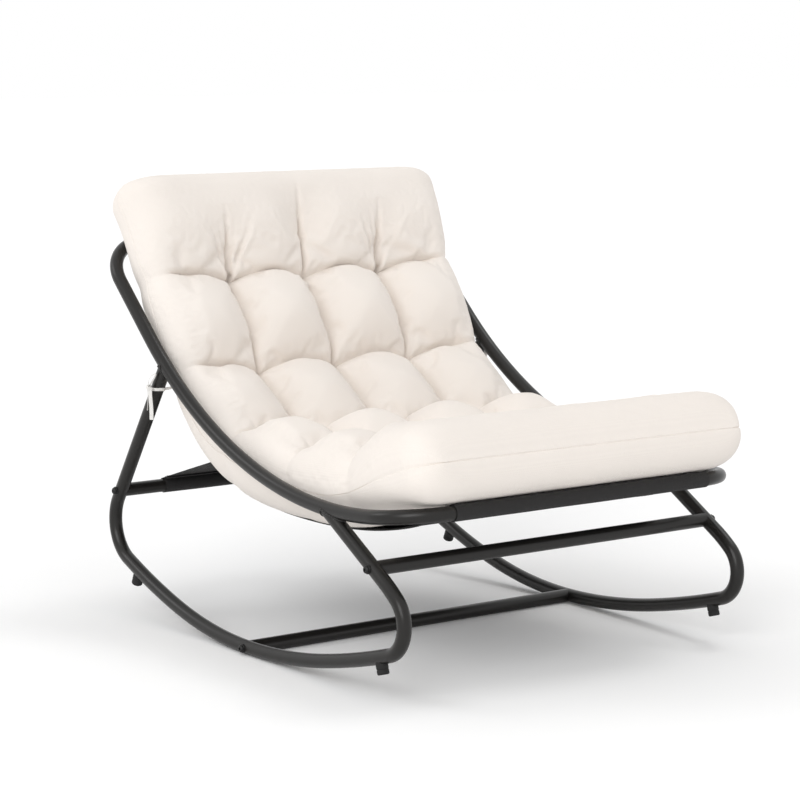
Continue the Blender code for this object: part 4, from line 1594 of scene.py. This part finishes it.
    def thickness(self, share: float) -> float:
        """Return the thickness over the rest line, without tufts."""
        gain = self.seat_thickness - self.back_thickness
        thick = self.back_thickness + gain * eased(share, self.hip_zone)
        thick -= self.front_thinning * eased(share, self.front_thin_zone)
        return thick - self.crest_thinning * eased(share, self.crest_thin_zone)

    def seam(self, share: float) -> float:
        """Return how high the seam runs, as a share of the thickness there."""
        side = (self.side_seam - self.back_seam) * eased(share, self.side_seam_zone)
        front = (self.front_seam - self.side_seam) * eased(share, self.front_seam_zone)
        return self.back_seam + side + front

    def cell(self, share: float) -> tuple[float, int]:
        """Return where a share lies in its row of tufts, from 0 to 1, and the row."""
        for index, (first, second) in enumerate(zip(self.rows, self.rows[1:])):
            if share <= second:
                return (share - first) / (second - first), index
        return 1.0, len(self.rows) - 2

    def valley(self, depth: float, wave: float) -> float:
        """Return how deep a crease is, sharp at its foot and domed between creases.

        Args:
            depth: The depth where the wave is 0.
            wave: 0 along the crease and 1 midway between two.

        Returns:
            The depth, with a slit along the foot.
        """
        dome = self.dome_share
        fall = 1.0 - (1.0 - dome) * wave ** self.crease_power - dome * wave * wave
        return depth * fall + (self.slit if wave < self.slit_wave else 0.0)

    def sideways(self, across: float) -> float:
        """Return 0 at a column's crease and 1 at its middle and in the outer edges."""
        return 1.0 if abs(across) > self.outer_column else abs(sin(2 * pi * across))

    def tuft_fall(self, share: float, across: float) -> float:
        """Return how far the tufts and creases draw the top in.

        Args:
            share: The place along the cushion.
            across: The place across, from -1 to 1.

        Returns:
            The depth in metres.
        """
        last = len(self.rows) - 2
        sideways = self.sideways(across)
        phase, row = self.cell(share)
        along = abs(sin(pi * phase))
        if (row == 0 and phase < 0.5) or (row == last and phase > 0.5):
            along = 1.0
        fade = self.row_fade * eased(abs(across), self.row_fade_zone)
        row_fall = (1.0 - fade) * self.valley(self.row_crease, along)
        column_fall = self.valley(self.column_crease, sideways)
        if row == 0:
            middle = abs(across) < self.middle_column
            column_fall *= eased(phase, self.middle_start_zone if middle else self.outer_start_zone)
        if row == last:
            column_fall *= self.front_column_share * eased(phase, self.front_column_zone)
        pit = self.tuft_pit * ((1.0 - along) * (1.0 - sideways)) ** self.pit_power
        return max(row_fall, column_fall) + self.cross_share * min(row_fall, column_fall) + pit

    def point(self, place: Pair, side: Pair, top: bool) -> Vector:
        """Return a point of the cover.

        Args:
            place: The distance along from the crest, and how full the cushion is there.
            side: The same across, from the right edge.
            top: Whether the point is on the sitter's side.

        Returns:
            The point in the chair's frame.
        """
        distance, full_along = place
        inset, full_across = side
        share = distance / self.rest.length
        across = 2.0 * inset / self.width - 1.0
        full = full_along * full_across
        half = self.half_width(distance)
        wide, far, layer = self.pucker_scale
        wave = noise.noise(Vector((wide * inset, far * distance, layer)))
        tuck = self.pucker * wave * (1.0 - full) ** 2
        if full == 0.0:
            tuck += self.seam_pinch
        half -= tuck
        distance += tuck if share < 0.5 else -tuck
        inside = min(distance, self.rest.length - distance)
        distance -= self.arch * self.sideways(across) * eased(inside, self.arch_zone)
        flat = self.rest.at(distance)
        normal = -self.rest.normal(distance, self.normal_reach)
        thick = self.thickness(share)
        seam = self.seam(share) * thick
        boxed = eased(share, self.boxed_zone)
        if top:
            rise = thick - seam - self.tuft_fall(share, across)
            roundness = self.top_roundness + (self.front_top_roundness - self.top_roundness) * boxed
        else:
            rise = -seam
            roundness = 1.0 + (self.under_roundness - 1.0) * eased(share, self.under_zone)
            roundness += (self.front_under_roundness - roundness) * boxed
        height = seam + rise * full_along * full_across ** roundness
        aside = self.sway * eased(share, self.upper_zone)
        return self.frame.place(across * half - aside, flat + height * normal)

    def hold(self, place: Pair, side: Pair, top: bool) -> float:
        """Return how firmly a point is held while the cover is puffed.

        Args:
            place: The distance along from the crest, and how full the cushion is there.
            side: The same across, from the right edge.
            top: Whether the point is on the sitter's side.

        Returns:
            The hold, from 0 to 1.
        """
        if not top:
            return 1.0
        distance, full_along = place
        inset, full_across = side
        length = self.rest.length
        row_gaps = [abs(distance - row * length) for row in self.rows[1:-1]]
        column_gaps = [abs(inset - column * self.width) for column in self.columns]
        row_gap = min(row_gaps)
        column_gap = min(column_gaps)
        tuft_gap = hypot(row_gap, column_gap)
        across = abs(2.0 * inset / self.width - 1.0)
        row_gap += self.row_slack * eased(across, self.row_fade_zone)
        phase, row = self.cell(distance / length)
        if row == 0:
            column_gap += self.crest_slack * eased(phase, self.crest_slack_zone)
        grips = (
            (self.tuft_grip, tuft_gap),
            (self.seam_grip, full_along * full_across),
            (self.crest_grip, distance),
            (self.front_grip, length - distance),
            (self.side_grip, min(inset, self.width - inset)),
            (self.crease_grip, min(row_gap, column_gap)),
        )
        return max(grip.at(gap) for grip, gap in grips)

    def cut_cover(self) -> Object:
        """Make the two panels, joined along their seam.

        Returns:
            The cover, with an attribute for how firmly each point is held.
        """
        row_places = [row * self.rest.length for row in self.rows[1:-1]]
        column_places = [column * self.width for column in self.columns]
        places = self.spread(self.rest.length, self.end_rounding, row_places)
        sides = self.spread(self.width, self.side_rounding, column_places)
        rows = len(places) - 1
        columns = len(sides) - 1
        cover = bmesh.new()
        uv = cover.loops.layers.uv.new("cover")
        held = cover.verts.layers.float.new("held")
        upper: list[list[bmesh.types.BMVert]] = []
        for top in (True, False):
            grid = []
            for i, place in enumerate(places):
                line = []
                for j, side in enumerate(sides):
                    rim = i in (0, rows) or j in (0, columns)
                    if rim and not top:
                        line.append(upper[i][j])
                        continue
                    vert = cover.verts.new(self.point(place, side, top))
                    vert[held] = self.hold(place, side, top)
                    line.append(vert)
                grid.append(line)
            if top:
                upper = grid
            for i in range(rows):
                for j in range(columns):
                    corners = [(i, j), (i, j + 1), (i + 1, j + 1), (i + 1, j)]
                    if not top:
                        corners.reverse()
                    face = cover.faces.new([grid[a][b] for a, b in corners])
                    for loop, (a, b) in zip(face.loops, corners):
                        loop[uv].uv = (sides[b][0] if top else -sides[b][0], places[a][0])
        bmesh.ops.recalc_face_normals(cover, faces=cover.faces)
        return mesh_object("cushion_cover", cover)

    def puff(self, cover: Object) -> None:
        """Swell the cover by cloth simulation, with its tufts, seam and underside held.

        Args:
            cover: The cover, as cut.
        """
        group = cover.vertex_groups.new(name="held")
        weights = [item.value for item in cover.data.attributes["held"].data]
        for index, weight in enumerate(weights):
            if weight > 0.0:
                group.add([index], weight, "REPLACE")
        before = [vert.co.copy() for vert in cover.data.vertices]
        activate(cover)
        bpy.ops.object.modifier_add(type="CLOTH")
        cloth = cover.modifiers[-1]
        settings = cloth.settings
        settings.quality = self.cloth_quality
        settings.mass = self.cloth_mass
        settings.tension_stiffness = self.tension
        settings.compression_stiffness = self.compression
        settings.shear_stiffness = self.shear
        settings.bending_stiffness = self.bending
        settings.use_pressure = True
        settings.uniform_pressure_force = self.puff_pressure
        settings.shrink_min = -self.puff_growth
        settings.vertex_group_mass = group.name
        settings.effector_weights.gravity = 0.0
        cloth.point_cache.frame_start = 1
        cloth.point_cache.frame_end = self.puff_frames
        scene = bpy.context.scene
        for number in range(1, self.puff_frames + 1):
            scene.frame_set(number)
        bpy.ops.object.modifier_apply(modifier=cloth.name)
        scene.frame_set(1)
        for vert, start in zip(cover.data.vertices, before):
            move = vert.co - start
            if move.length > self.puff_cap:
                vert.co = start + self.puff_cap * move.normalized()

    def pleats(self) -> list[Pleat]:
        """Choose the pleats that run out from the tufts.

        Returns:
            The pleats: a fan towards the crest from the outer tufts of the first row, and
            tucks between the creases from every other tuft.
        """
        chance = random.Random(self.seed)
        chosen = []
        for number, row in enumerate(self.rows[1:-1]):
            for column in self.columns:
                start = Vector((column * self.width, row * self.rest.length))
                fanned = number == 0 and column != 0.5
                kind = self.fan if fanned else self.tuck
                for index in range(self.pleat_count):
                    if fanned:
                        angle = -90.0 + self.fan_spread * ((index + 0.5) / self.pleat_count - 0.5)
                    else:
                        angle = chance.choice(self.tuck_headings)
                    run = heading_vector(angle + chance.uniform(*kind.jitter))
                    length = chance.uniform(*kind.lengths)
                    depth = chance.uniform(*kind.depths)
                    chosen.append(Pleat(start, run, length, chance.uniform(*kind.widths), depth))
        return chosen

    def pleat(self, cover: Object) -> None:
        """Press the pleats into the cover round its tufts.

        Args:
            cover: The puffed cover.
        """
        mesh = cover.data
        count = len(mesh.vertices)
        owners = np.empty(len(mesh.loops), dtype=np.int64)
        mesh.loops.foreach_get("vertex_index", owners)
        flat = np.empty(2 * len(mesh.loops))
        mesh.uv_layers.active.data.foreach_get("uv", flat)
        flat = flat.reshape(-1, 2)
        spots = np.full((count, 2), -1.0)
        upper = flat[:, 0] >= 0.0
        spots[owners[upper]] = flat[upper]
        depth = np.zeros(count)
        for pleat in self.pleats():
            away = spots - np.array(pleat.start)
            along = away @ np.array(pleat.run)
            off = np.abs(away[:, 0] * pleat.run.y - away[:, 1] * pleat.run.x) / pleat.width
            shape = np.exp(-off * off) - self.shoulder * np.exp(-(off - self.shoulder_place) ** 2)
            rise = np.clip(along / self.pleat_start, 0.0, 1.0)
            fade = np.clip(1.0 - along / pleat.length, 0.0, 1.0)
            depth += pleat.depth * shape * rise * fade * (spots[:, 0] >= 0.0)
        places = np.empty(3 * count)
        mesh.vertices.foreach_get("co", places)
        normals = np.empty(3 * count)
        mesh.vertices.foreach_get("normal", normals)
        moved = places.reshape(-1, 3) - depth[:, None] * normals.reshape(-1, 3)
        mesh.vertices.foreach_set("co", moved.ravel())
        mesh.update()

    def build(self) -> Object:
        """Model the cover, puff it and press its pleats.

        Returns:
            The cover.
        """
        cover = self.cut_cover()
        self.puff(cover)
        apply_modifier(cover, "SUBSURF", levels=1, render_levels=1)
        self.pleat(cover)
        smooth(cover, COVER_CREASE)
        seat(cover, Finish.CUSHION_CLOTH, "cushion", "cushion")
        return cover


@dataclass(frozen=True)
class TailShape:
    """How one loose end of a tie hangs, its way 1 to the back and its twist in radians."""

    length: float
    way: float
    drift: float
    twist: Pair


class Tail(Enum):
    """A loose end of a tie."""

    LONG = TailShape(length=0.0610, way=-1.0, drift=0.10, twist=(0.80, 1.10))
    SHORT = TailShape(length=0.0446, way=1.0, drift=0.05, twist=(-0.42, -0.70))


@dataclass
class TieTape:
    """The white tape that ties the cushion to one rear leg, in a bow.

    The angles of its tails are in radians.
    """

    frame: TubeFrame
    cover: Object
    side: Side
    drop: float = 0.0435
    width: float = 0.0074
    thickness: float = 0.0010
    strands: int = 4
    band_gap: float = 0.0004
    band_steps: int = 64
    band_wave: float = 0.0005
    band_tilt: float = 0.0012
    lead_bury: float = 0.3
    lead_forward: float = 0.003
    lead_rise: float = 0.002
    lead_sag: float = 0.0006
    lead_steps: int = 6
    beside: float = 0.008
    knot_forward: float = 0.006
    knot_lift: float = 0.0055
    knot_turns: int = 3
    knot_steps: int = 96
    knot_skew: float = 0.5
    knot_swell: Pair = (0.66, 0.24)
    loop_rise: float = 0.030
    loop_half: float = 0.0095
    loop_steps: int = 40
    loop_root: float = 0.5
    loop_lean: float = 0.0040
    loop_flat_side: float = 0.30
    loop_belly: Pair = (0.35, 0.75)
    loop_face: Pair = (0.45, 0.20)
    tail_root: float = 0.15
    tail_apart: float = 0.0042
    tail_steps: int = 24
    tail_bend: float = 2.6
    tail_wave: float = 0.05
    tail_wave_angles: Pair = (2.0, 7.0)

    def __post_init__(self) -> None:
        """Find the leg, and the middle and half size of the knot."""
        low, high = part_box(f"{self.side.word}_tie_knot")
        self.reach = (high.x - low.x) / 2
        self.knot = (low + high) / 2 - self.knot_forward * REARWARD + self.knot_lift * UP
        self.leg = upright(self.frame.ends[End.REAR].leg)
        self.outward = self.side.outward

    def ribbon(self, piece: str, node: str, points: list[Vector], spreads: list[Vector],
               closed: bool = False, whole: bool = True) -> Object:
        """Lay a tape along a 3-D line and fix it to the chair.

        Args:
            piece: The tape's name, after its side.
            node: The CAD node that it goes with, after its side.
            points: The line.
            spreads: The direction of the tape's width at each point.
            closed: Whether the tape is a ring.
            whole: Whether it stands for that node.

        Returns:
            The tape.
        """
        count = len(points)
        steps = self.strands
        tape = bmesh.new()
        uv = tape.loops.layers.uv.new("tape")
        lines = []
        for point, spread in zip(points, spreads):
            across = spread.normalized() * self.width / 2
            lines.append([tape.verts.new(point + (2 * k / steps - 1) * across) for k in range(steps + 1)])
        length = 0.0
        for index in range(count if closed else count - 1):
            following = (index + 1) % count
            step = (points[following] - points[index]).length
            for k in range(steps):
                face = tape.faces.new((lines[index][k], lines[index][k + 1],
                                       lines[following][k + 1], lines[following][k]))
                places = ((k, 0.0), (k + 1, 0.0), (k + 1, step), (k, step))
                for loop, (column, further) in zip(face.loops, places):
                    loop[uv].uv = (column / steps * self.width, length + further)
            length += step
        obj = mesh_object(f"{self.side.word}_tie_{piece}", tape)
        apply_modifier(obj, "SOLIDIFY", thickness=self.thickness, offset=0.0)
        apply_modifier(obj, "SUBSURF", levels=1, render_levels=1)
        smooth(obj, SOFT_CREASE)
        slot = f"{self.side.word}_tie_{node}"
        return seat(obj, Finish.TAPE_CLOTH, slot, *([slot] if whole else []))

    def cushion_side(self, near: Vector) -> float:
        """Return how far out the cushion reaches beside a point.

        Args:
            near: The point.

        Returns:
            The distance from the middle of the chair.
        """
        reach = 0.0
        for vert in self.cover.data.vertices:
            if abs(vert.co.y - near.y) < self.beside and abs(vert.co.z - near.z) < self.beside:
                reach = max(reach, self.side.value * vert.co.x)
        return reach

    def build_band(self) -> None:
        """Model the band round the leg and its lead to the cushion."""
        top = self.frame.at_side(self.side, self.frame.ends[End.REAR].top)
        centre = top - (self.frame.tube_radius + self.drop) * self.leg
        radius = self.frame.tube_radius + self.band_gap + self.thickness / 2
        band = []
        for index in range(self.band_steps):
            angle = 2 * pi * index / self.band_steps
            round_leg = cos(angle) * self.outward + sin(angle) / self.leg.z * REARWARD
            lift = self.band_wave * sin(3 * angle) + self.band_tilt * cos(angle)
            band.append(centre + radius * round_leg + lift * UP)
        self.ribbon("wrap", "band", band, [self.leg] * len(band), closed=True)
        inner = band[self.band_steps // 2] + self.lead_bury * self.thickness * self.outward
        end = inner - self.lead_forward * REARWARD + self.lead_rise * UP
        end.x = self.side.value * self.cushion_side(inner)
        lead = []
        for index in range(self.lead_steps + 1):
            share = index / self.lead_steps
            lead.append(inner.lerp(end, share) - self.lead_sag * sin(pi * share) * self.leg)
        self.ribbon("lead", "band", lead, [self.leg] * len(lead), whole=False)

    def build_knot(self) -> None:
        """Model the knot as one tape wound three ways over itself."""
        points = []
        spreads = []
        size = self.reach - self.thickness
        least, gain = self.knot_swell
        for index in range(self.knot_steps):
            share = index / self.knot_steps
            angle = 2 * pi * self.knot_turns * share
            tilt = pi * share
            aside = self.knot_skew * sin(tilt) * self.outward
            axis = (aside + cos(tilt) * REARWARD + sin(tilt) * UP).normalized()
            first = axis.orthogonal().normalized()
            second = axis.cross(first)
            swell = least + gain * sin(tilt)
            points.append(self.knot + size * swell * (cos(angle) * first + sin(angle) * second))
            spreads.append(axis)
        self.ribbon("knot_wrap", "knot", points, spreads)

    def build_loop(self) -> None:
        """Model the bow's standing loop, which leans over to the leg."""
        points = []
        spreads = []
        foot, belly = self.loop_belly
        face, turn = self.loop_face
        for index in range(self.loop_steps + 1):
            angle = 2 * pi * index / self.loop_steps
            share = (1 - cos(angle)) / 2
            bulge = 1.0 if angle < pi else self.loop_flat_side
            sway = bulge * self.loop_half * sin(angle) * (foot + belly * share)
            lean = self.loop_lean * share * share
            height = self.loop_root * self.reach + self.loop_rise * share
            points.append(self.knot + height * self.leg + (sway - lean) * self.outward)
            spreads.append(REARWARD - (face + turn * sin(angle)) * self.outward)
        self.ribbon("bow", "loop", points, spreads)

    def build_tail(self, tail: Tail) -> None:
        """Model one hanging tail.

        Args:
            tail: Which tail it is.
        """
        shape = tail.value
        word = tail.name.lower()
        steps = self.tail_steps
        first_angle, gain = self.tail_wave_angles
        start = self.knot + self.tail_root * self.reach * UP + shape.way * self.tail_apart * REARWARD
        points = [start]
        for index in range(steps):
            share = (index + 0.5) / steps
            drift = shape.drift * shape.way * sin(self.tail_bend * share)
            wave = self.tail_wave * sin(first_angle + gain * share)
            direction = (drift * REARWARD + wave * self.outward - UP).normalized()
            points.append(points[-1] + shape.length / steps * direction)
        spreads = []
        twist_start, twist_end = shape.twist
        for index in range(steps + 1):
            twist = twist_start + (twist_end - twist_start) * index / steps
            spreads.append(cos(twist) * REARWARD + sin(twist) * self.outward)
        obj = self.ribbon(f"{word}_end", f"{word}_tail", points, spreads)

    def build(self) -> None:
        """Model the whole tie."""
        self.build_band()
        self.build_knot()
        self.build_loop()
        for tail in Tail:
            self.build_tail(tail)


# Studio
@dataclass(frozen=True)
class Lamp:
    """A broad, even lamp, its spread as wide as it looks from the chair."""

    name: str
    azimuth: float
    elevation: float
    spread: float
    strength: float


@dataclass
class Studio:
    """The pale floor, the soft lamps and the camera at the photograph's angle."""

    frame: TubeFrame
    azimuth: float = -36.1605
    elevation: float = 7.9825
    lens: float = 115.007
    sensor_width: float = 36.0
    camera_place: tuple[float, float, float] = (-2.806, -3.7885, 1.0925)
    floor_reach: float = 40.0
    floor_cells: int = 8
    floor_colour: Colour = (0.97, 0.97, 0.97)
    floor_roughness: float = 0.9
    floor_glow: float = 0.035
    sky: float = 0.735
    lamp_distance: float = 4.0
    lamps: tuple[Lamp, ...] = (
        Lamp("key", azimuth=80.0, elevation=66.0, spread=18.0, strength=0.34),
        Lamp("front", azimuth=-58.0, elevation=30.0, spread=36.0, strength=1.07),
        Lamp("side", azimuth=-132.0, elevation=36.0, spread=24.0, strength=0.34),
    )

    def build_camera(self) -> None:
        """Add the camera and make it the scene's own."""
        turn = radians(self.azimuth)
        back = seen_from(self.azimuth, self.elevation)
        right = Vector((cos(turn), sin(turn), 0.0))
        aim = Matrix((right, back.cross(right), back)).transposed().to_4x4()
        data = bpy.data.cameras.new("camera")
        data.sensor_width = self.sensor_width
        data.lens = self.lens
        camera = bpy.data.objects.new("camera", data)
        place = Vector(self.camera_place) + self.frame.shift * REARWARD
        camera.matrix_world = Matrix.Translation(place) @ aim
        bpy.context.collection.objects.link(camera)
        bpy.context.scene.camera = camera

    def build_floor(self) -> None:
        """Add the floor, white to the camera where no shadow falls."""
        floor = added("floor", bpy.ops.mesh.primitive_grid_add, x_subdivisions=self.floor_cells,
                      y_subdivisions=self.floor_cells, size=2 * self.floor_reach)
        shader = Shader("studio_floor", self.floor_colour, self.floor_roughness, Specular_IOR_Level=0.0)
        glow = shader.node("ShaderNodeEmission")
        both = shader.node("ShaderNodeAddShader")
        shader.join(shader.seen_rays(self.floor_glow), glow.inputs["Strength"])
        shader.join(shader.surface.outputs["BSDF"], both.inputs[0])
        shader.join(glow.outputs["Emission"], both.inputs[1])
        shader.join(both.outputs["Shader"], shader.tree.nodes["Material Output"].inputs["Surface"])
        floor.data.materials.append(shader.material)

    def build_lamps(self) -> None:
        """Add the lamps, aimed at the chair."""
        for lamp in self.lamps:
            data = bpy.data.lights.new(lamp.name, "SUN")
            data.angle = radians(lamp.spread)
            data.energy = lamp.strength
            obj = bpy.data.objects.new(lamp.name, data)
            source = seen_from(lamp.azimuth, lamp.elevation)
            obj.rotation_euler = (-source).to_track_quat("-Z", "Y").to_euler()
            obj.location = self.lamp_distance * source
            bpy.context.collection.objects.link(obj)

    def build_world(self) -> None:
        """Add the world's even light, and its white for the rays that show a background."""
        world = bpy.context.scene.world or bpy.data.worlds.new("studio")
        bpy.context.scene.world = world
        world.use_nodes = True
        world.node_tree.nodes.clear()
        nodes = NodeSet(world.node_tree)
        even = nodes.node("ShaderNodeBackground", Color=WHITE, Strength=self.sky)
        white = nodes.node("ShaderNodeBackground", Color=WHITE, Strength=1.0)
        mix = nodes.node("ShaderNodeMixShader")
        out = nodes.node("ShaderNodeOutputWorld")
        nodes.join(nodes.seen_rays(1.0), mix.inputs["Fac"])
        nodes.join(even.outputs["Background"], mix.inputs[1])
        nodes.join(white.outputs["Background"], mix.inputs[2])
        nodes.join(mix.outputs["Shader"], out.inputs["Surface"])
        bpy.context.scene.view_settings.view_transform = "Standard"

    def build(self) -> None:
        """Set the studio up."""
        self.build_camera()
        self.build_floor()
        self.build_lamps()
        self.build_world()


def main() -> None:
    """Build the chair's looks piece by piece."""
    logging.basicConfig(level=logging.INFO, format="%(name)s: %(message)s")
    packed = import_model()
    frame = TubeFrame()
    Studio(frame).build()
    frame.build()
    fastenings = Fastenings(frame)
    fastenings.build_bolts()
    fastenings.dress_hidden(packed["nodes"])
    RockerStops(frame).build()
    sling = Sling(frame)
    sling.build()
    cover = Cushion(frame, sling).build()
    for side in Side:
        TieTape(frame, cover, side).build()


if __name__ == "__main__":
    main()
